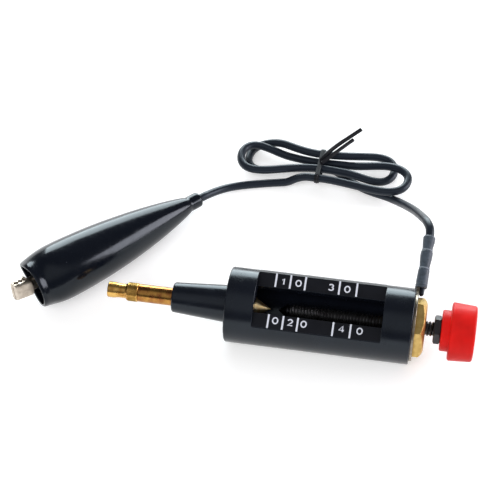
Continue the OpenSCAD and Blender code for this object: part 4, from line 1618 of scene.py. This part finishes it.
@dataclass
class Clip:
    """The spring clip inside the boot: two pressed jaws, their pin, spring and screw, and the lead's bare strands."""

    pivot: float = 72.0
    roll: float = -63.0
    reach: float = 23.7
    high: float = 3.5
    half: float = 3.4
    waist: float = 1.9
    waist_ends: tuple[float, ...] = (7, 8, 16.2, 16.9)
    sheet: float = 0.8
    bend: float = 0.95
    slope: float = 0.21
    slope_from: float = 16.6
    gap: float = -0.12
    tooth: float = 1.15
    teeth: Pair = (11, 22.5)
    twist: float = -11.0
    drop: float = 1.4
    nose: Pair = (3, 15)
    spring_radius: float = 1.75
    spring_wire: float = 0.3
    spring_pitch: float = 0.72
    spring_turns: float = 3.0
    lower_back: tuple[float, ...] = (-20, -17, -14, -11, -8, -6, -4, -2.8, -1.6, 0, 1.6, 3, 4.6, 6)
    upper_back: tuple[Pair, ...] = ((-19, -7.7), (-18.4, -7.5), (-15, -6.5), (-11, -5.3), (-8, -4.45), (-6, -3.9),
                                    (-4, -3.5), (-1, -3.5), (2, -3.5), (5, -3.5), (6.4, -3.5))

    def place(self, boot: Boot) -> Matrix:
        """From the clip's own directions, X to its tip and Z to its upper jaw, to the row frame."""
        return boot.place @ moved(self.pivot) @ turned(self.roll, "X")

    def jaw(self, back: Sequence[Pair], rim: Callable[[float], float], sign: float) -> Shape:
        """Works out a pressed channel: a spine with a wall on each side.

        Args:
            back: The spine's side view behind the nose, in X and Z.
            rim: How high the walls reach at a place along X.
            sign: 1 for the lower jaw and -1 for the upper one.

        Returns:
            The channel as an open sheet, with its nose turned and lowered.
        """
        shape = Shape()
        rows = []
        for x, z in self.spine(back):
            half = self.half - self.waist * step_up(*self.waist_ends[:2], x) * (1 - step_up(*self.waist_ends[2:], x))
            top = max(rim(x) - z, 0.02)
            fold = min(self.bend, top)
            edge = [(half - fold * (1 - math.sin(a)), fold * (1 - math.cos(a)))
                    for a in (math.radians(18 * k) for k in range(1, 6))]
            side = [(0.0, 0.0), ((half - fold) * 0.5, 0.0), (half - fold, 0.0), *edge,
                    (half, fold + (top - fold) * 0.5), (half, top)]
            bent = step_up(*self.nose, x)
            turn = Matrix.Rotation(math.radians(self.twist) * bent, 3, "X")
            row = [(-y, h) for y, h in reversed(side[1:])] + side
            rows.append(shape.row(turn @ Vector((x, y, sign * (z + h) - self.drop * bent)) for y, h in row))
        return shape.skin(rows, closed=False)

    def spine(self, back: Sequence[Pair]) -> list[Pair]:
        """Works out a spine's side view, with a station at each tooth.

        Args:
            back: The spine behind the nose.

        Returns:
            The spine in X and Z, from its back end over the rounded tip.
        """
        flat = [(x, -self.high) for x in (*range(7, 17), 16.3, self.slope_from)]
        slope = [(x, -self.high + self.slope * max(0, x - self.slope_from)) for x in range(17, 24)]
        tip = rounded([(23.2, -2.1, 0), (self.reach - 0.1, -1.95, 0.4), (self.reach, -0.2, 0)], 4)
        return [*back, *flat, *slope, *tip]

    def rim(self, x: float) -> float:
        """How far below the closing line a nose's wall ends, with its teeth."""
        low, high = self.teeth
        return self.gap - (self.tooth if low <= x <= high and round(x) % 2 == 0 else 0.0)

    def lower_rim(self, x: float) -> float:
        """Works out how high the lower jaw's walls reach, with the ears at its pin.

        Args:
            x: The place along the clip.

        Returns:
            The height.
        """
        if x < -14:
            return -2.4
        if x < -4:
            return -2.2 + 1.7 * step_up(-14, -4, x)
        if x < 6:
            return 1.9 if abs(x) <= 1.7 else 1.9 - 2.0 * (abs(x) - 1.6) / 3.4
        return self.rim(x)

    def upper_rim(self, x: float) -> float:
        """How high the upper jaw's walls reach, low behind its pin."""
        return -9.9 if x < -4 else -2.6 if x < 6.5 else self.rim(x)

    def build(self, boot: Boot, recipes: Recipes) -> list[Object]:
        """Makes the clip's pieces.

        Args:
            boot: The boot over the clip.
            recipes: The trees, for the spring and the strands.

        Returns:
            The pieces.
        """
        at = self.place(boot)
        sheet = {"bevel": 0.12, "wall": self.sheet}
        lower = self.jaw([(x, -self.high) for x in self.lower_back], self.lower_rim, 1)
        upper = self.jaw(self.upper_back, self.upper_rim, -1)
        ear = rounded([(-4, 3.1, 0), (-2.6, -1, 0.6), (-1.2, -2.2, 0.8), (1.2, -2.2, 0.8), (2.6, -1, 0.6),
                       (5, 3.1, 0)], 4)
        upright = Matrix(((1, 0, 0, 0), (0, 0, 1, 0), (0, 1, 0, 0), (0, 0, 0, 1)))
        ears = Shape()
        for y in (-2.3, 1.5):
            ears.join(slab(ear, y, y + self.sheet).put(upright))
        rivet = rounded([(-3.9, 0, 0), (-3.9, 1.2, 0.3), (-3.55, 1.7, 0.2), (-3.4, 1.7, 0), (-3.4, 1.0, 0),
                         (3.4, 1.0, 0), (3.4, 1.7, 0), (3.55, 1.7, 0.2), (3.9, 1.2, 0.3), (3.9, 0, 0)], 3)
        return [
            Piece("jaw_channel_lower", Finishes.jaw, ("lower_jaw",), **sheet).build(lower, at),
            Piece("jaw_channel_upper", Finishes.jaw, ("upper_jaw",), Body.JAW, **sheet).build(upper, at),
            Piece("jaw_ears", Finishes.jaw, body=Body.JAW, bevel=0.1).build(ears, at),
            Piece("pivot_rivet", Finishes.pin, ("pivot_pin",)).build(lathe(rivet, 40), at @ turned(90, "Z")),
            *self.inside(at, recipes)]

    def inside(self, at: Matrix, recipes: Recipes) -> list[Object]:
        """Makes the spring, the clip's screw, the bare strands and the crimp.

        Args:
            at: From the clip's own directions to the row frame.
            recipes: The trees, for the spring and the strands.

        Returns:
            The pieces.
        """
        start = -self.spring_pitch * self.spring_turns / 2
        foot = Vector((-0.3 + start, self.spring_radius, 0))
        leg = wire([foot + Vector(p) for p in ((0.3, 0, 0), (0.3, 0, 2.0), (0.3, 0.2, 5.0), (0.3, 0.45, 9.3))],
                   self.spring_wire, 8, X)
        across = Matrix(((0, 0, -1, 0), (1, 0, 0, 0), (0, -1, 0, 0), (0, 0, 0, 1)))
        spring = recipes.helix.run(
            Piece("jaw_spring_coil", Finishes.pin, ("jaw_spring",), sharp=60), leg, at @ across,
            radius=self.spring_radius * MM, pitch=self.spring_pitch * MM, turns=self.spring_turns,
            wire=self.spring_wire * MM, start=start * MM, corners=8, steps=24)
        head = rounded([(-4.1, 0, 0), (-4.1, 1.25, 0.2), (-2.7, 1.25, 0), (-2.7, 2.2, 0.1), (-1.9, 2.1, 0.5),
                        (-1.5, 1.2, 0.5), (-1.5, 0, 0)], 4)
        screw = Piece("clip_screw_head", Finishes.pin, ("clip_screw",)).build(
            lathe(head, 48), at @ moved(-12.5) @ turned(-90, "Y"))
        bare = smooth_path([(-17.5, 0, 0.5), (-15.5, 0.2, 0.6), (-13.9, 0.3, -0.6), (-12.9, 0.25, -1.2)], 0.5)
        count = 9
        strands = recipes.round_about.run(Piece("bare_strands", Finishes.copper, sharp=60), wire(bare, 0.13, 6), at,
                                          count=count, turn=math.tau / count)
        crimp = rounded([(-20, 1.85, 0.1), (-20, 2.5, 0.2), (-15, 2.5, 0.2), (-15, 1.85, 0.1)], 3, True)
        ring = Piece("clip_crimp", Finishes.jaw).build(lathe(crimp, 40, True), at)
        return [spring, screw, strands, ring]


# ---- The studio ----


@dataclass
class Studio:
    """The camera, the floor, the world and the soft lamps."""

    azimuth: float = 9.444
    elevation: float = 46.0
    place: Triple = (50.49, -403.94, 472.46)
    focal: float = 1550.0
    frame: float = 495.0
    sensor: float = 36.0
    aim: Triple = (0, 0.03, 0.01)
    half_floor: float = 4.0
    glow: float = 0.38
    ceiling: float = 0.1
    ambient: float = 0.5

    def camera(self) -> None:
        """Sets the camera that the photograph was taken with."""
        a, e = math.radians(self.azimuth), math.radians(self.elevation)
        right = Vector((math.cos(a), math.sin(a), 0))
        up = Vector((-math.sin(a) * math.sin(e), math.cos(a) * math.sin(e), math.cos(e)))
        back = Vector((math.sin(a) * math.cos(e), -math.cos(a) * math.cos(e), math.sin(e)))
        data = bpy.data.cameras.new("camera")
        data.sensor_width = self.sensor
        data.lens = self.sensor * self.focal / self.frame
        data.clip_start, data.clip_end = 0.01, 50.0
        camera = show("camera", data)
        turn = Matrix((right, up, back)).transposed().to_4x4()
        camera.matrix_world = Matrix.Translation(Vector(self.place) * MM) @ turn
        bpy.context.scene.camera = camera

    def lamp(self, name: str, at: Triple, size: Pair, radiance: float, colour: Colour, glossy: bool = True) -> None:
        """Adds a soft rectangular lamp that faces the tester.

        Args:
            name: The lamp's name.
            at: Its place in metres.
            size: Its width and height in metres.
            radiance: How bright its face is.
            colour: Its colour.
            glossy: Whether reflections show it.
        """
        data = bpy.data.lights.new(name, "AREA")
        data.shape = "RECTANGLE"
        data.size, data.size_y = size
        data.energy = radiance * math.pi * size[0] * size[1]
        data.color = colour
        lamp = show(name, data)
        way = Vector(self.aim) - Vector(at)
        lamp.matrix_world = Matrix.Translation(at) @ way.to_track_quat("-Z", "Y").to_matrix().to_4x4()
        lamp.visible_glossy = glossy

    def floor(self) -> None:
        """Lays the pale floor, which the camera sees as the photograph's white ground."""
        mesh = bpy.data.meshes.new("floor")
        half = self.half_floor
        mesh.from_pydata([(-half, -half, 0), (half, -half, 0), (half, half, 0), (-half, half, 0)], [], [(0, 1, 2, 3)])
        floor = show("floor", mesh)
        graph = Graph("floor_paper")
        graph.set(Base_Color=(0.82, 0.82, 0.82), Roughness=0.9, Specular_IOR_Level=0.0)
        graph.set(Emission_Color=(1.0, 1.0, 1.0), Emission_Strength=graph.math("MULTIPLY", graph.shown(), self.glow))
        mesh.materials.append(graph.material)

    def world(self) -> None:
        """Surrounds the tester with white, which its shiny pieces see as a dim ceiling and a pale wall in front."""
        world = bpy.data.worlds.new("studio")
        bpy.context.scene.world = world
        world.use_nodes = True
        nodes = Shading(world.node_tree)
        way = nodes.add("SeparateXYZ", {0: nodes.add("TexCoord")}).node.outputs
        horizon = nodes.math("MULTIPLY", nodes.between(way["Z"], 0.0, 0.16, 0.9, 0.0),
                             nodes.between(way["Y"], -0.2, 0.3, 0.15, 1.0))
        wall = nodes.math("MULTIPLY", nodes.between(way["Z"], 0.35, 0.6, 0.0, 0.42),
                          nodes.between(way["Y"], 0.05, -0.3, 0.0, 1.0))
        room = nodes.math("ADD", nodes.math("ADD", horizon, wall), self.ceiling)
        seen = nodes.add("Mix", {"Factor": nodes.add("LightPath"), 2: room, 3: 1.0})
        level = nodes.add("Mix", {"Factor": nodes.shown(), 2: self.ambient, 3: seen})
        sky = world.node_tree.nodes["Background"].inputs
        nodes.fill(sky["Color"], (0.98, 0.99, 1.0, 1))
        nodes.fill(sky["Strength"], level)

    def build(self) -> None:
        """Sets up the whole studio."""
        bpy.context.scene.view_settings.view_transform = "Standard"
        self.camera()
        self.floor()
        self.world()
        self.lamp("back_window", (-0.25, 1.5, 0.46), (1.35, 0.9), 7.6, (0.86, 0.96, 1.0))
        self.lamp("right_window", (1.35, 0.37, 0.42), (0.84, 0.66), 8.0, (0.96, 0.92, 1.0))
        self.lamp("front_fill", (-0.5, -1.3, 1.2), (1.2, 0.9), 5.6, (1.0, 0.99, 0.98), glossy=False)


def dress_hidden() -> None:
    """Gives the CAD nodes that stay hidden inside other pieces their materials."""
    for name, finish in {"terminal_stud": Finishes.rod, "knob_insert": Finishes.terminal}.items():
        node = frame["nodes"][name]
        if not node.material_slots:
            node.data.materials.append(None)
        for slot in node.material_slots:
            slot.material = finish.material()


def main() -> None:
    """Builds the studio and every piece of the tester, in order."""
    logging.basicConfig(level=logging.INFO, format="%(message)s")
    Studio().build()
    recipes = Recipes()
    boot, hank, barrel = Boot(), Hank(), Barrel()
    skin = boot.build()
    metal = Clip().build(boot, recipes)
    tie = Tie().build(hank)
    hank.build(boot, [skin, *metal, tie])
    barrel.build()
    Scale().build(recipes, barrel)
    Terminal().build(recipes)
    Screw().build(recipes)
    Lug().build()
    dress_hidden()


if __name__ == "__main__":
    main()
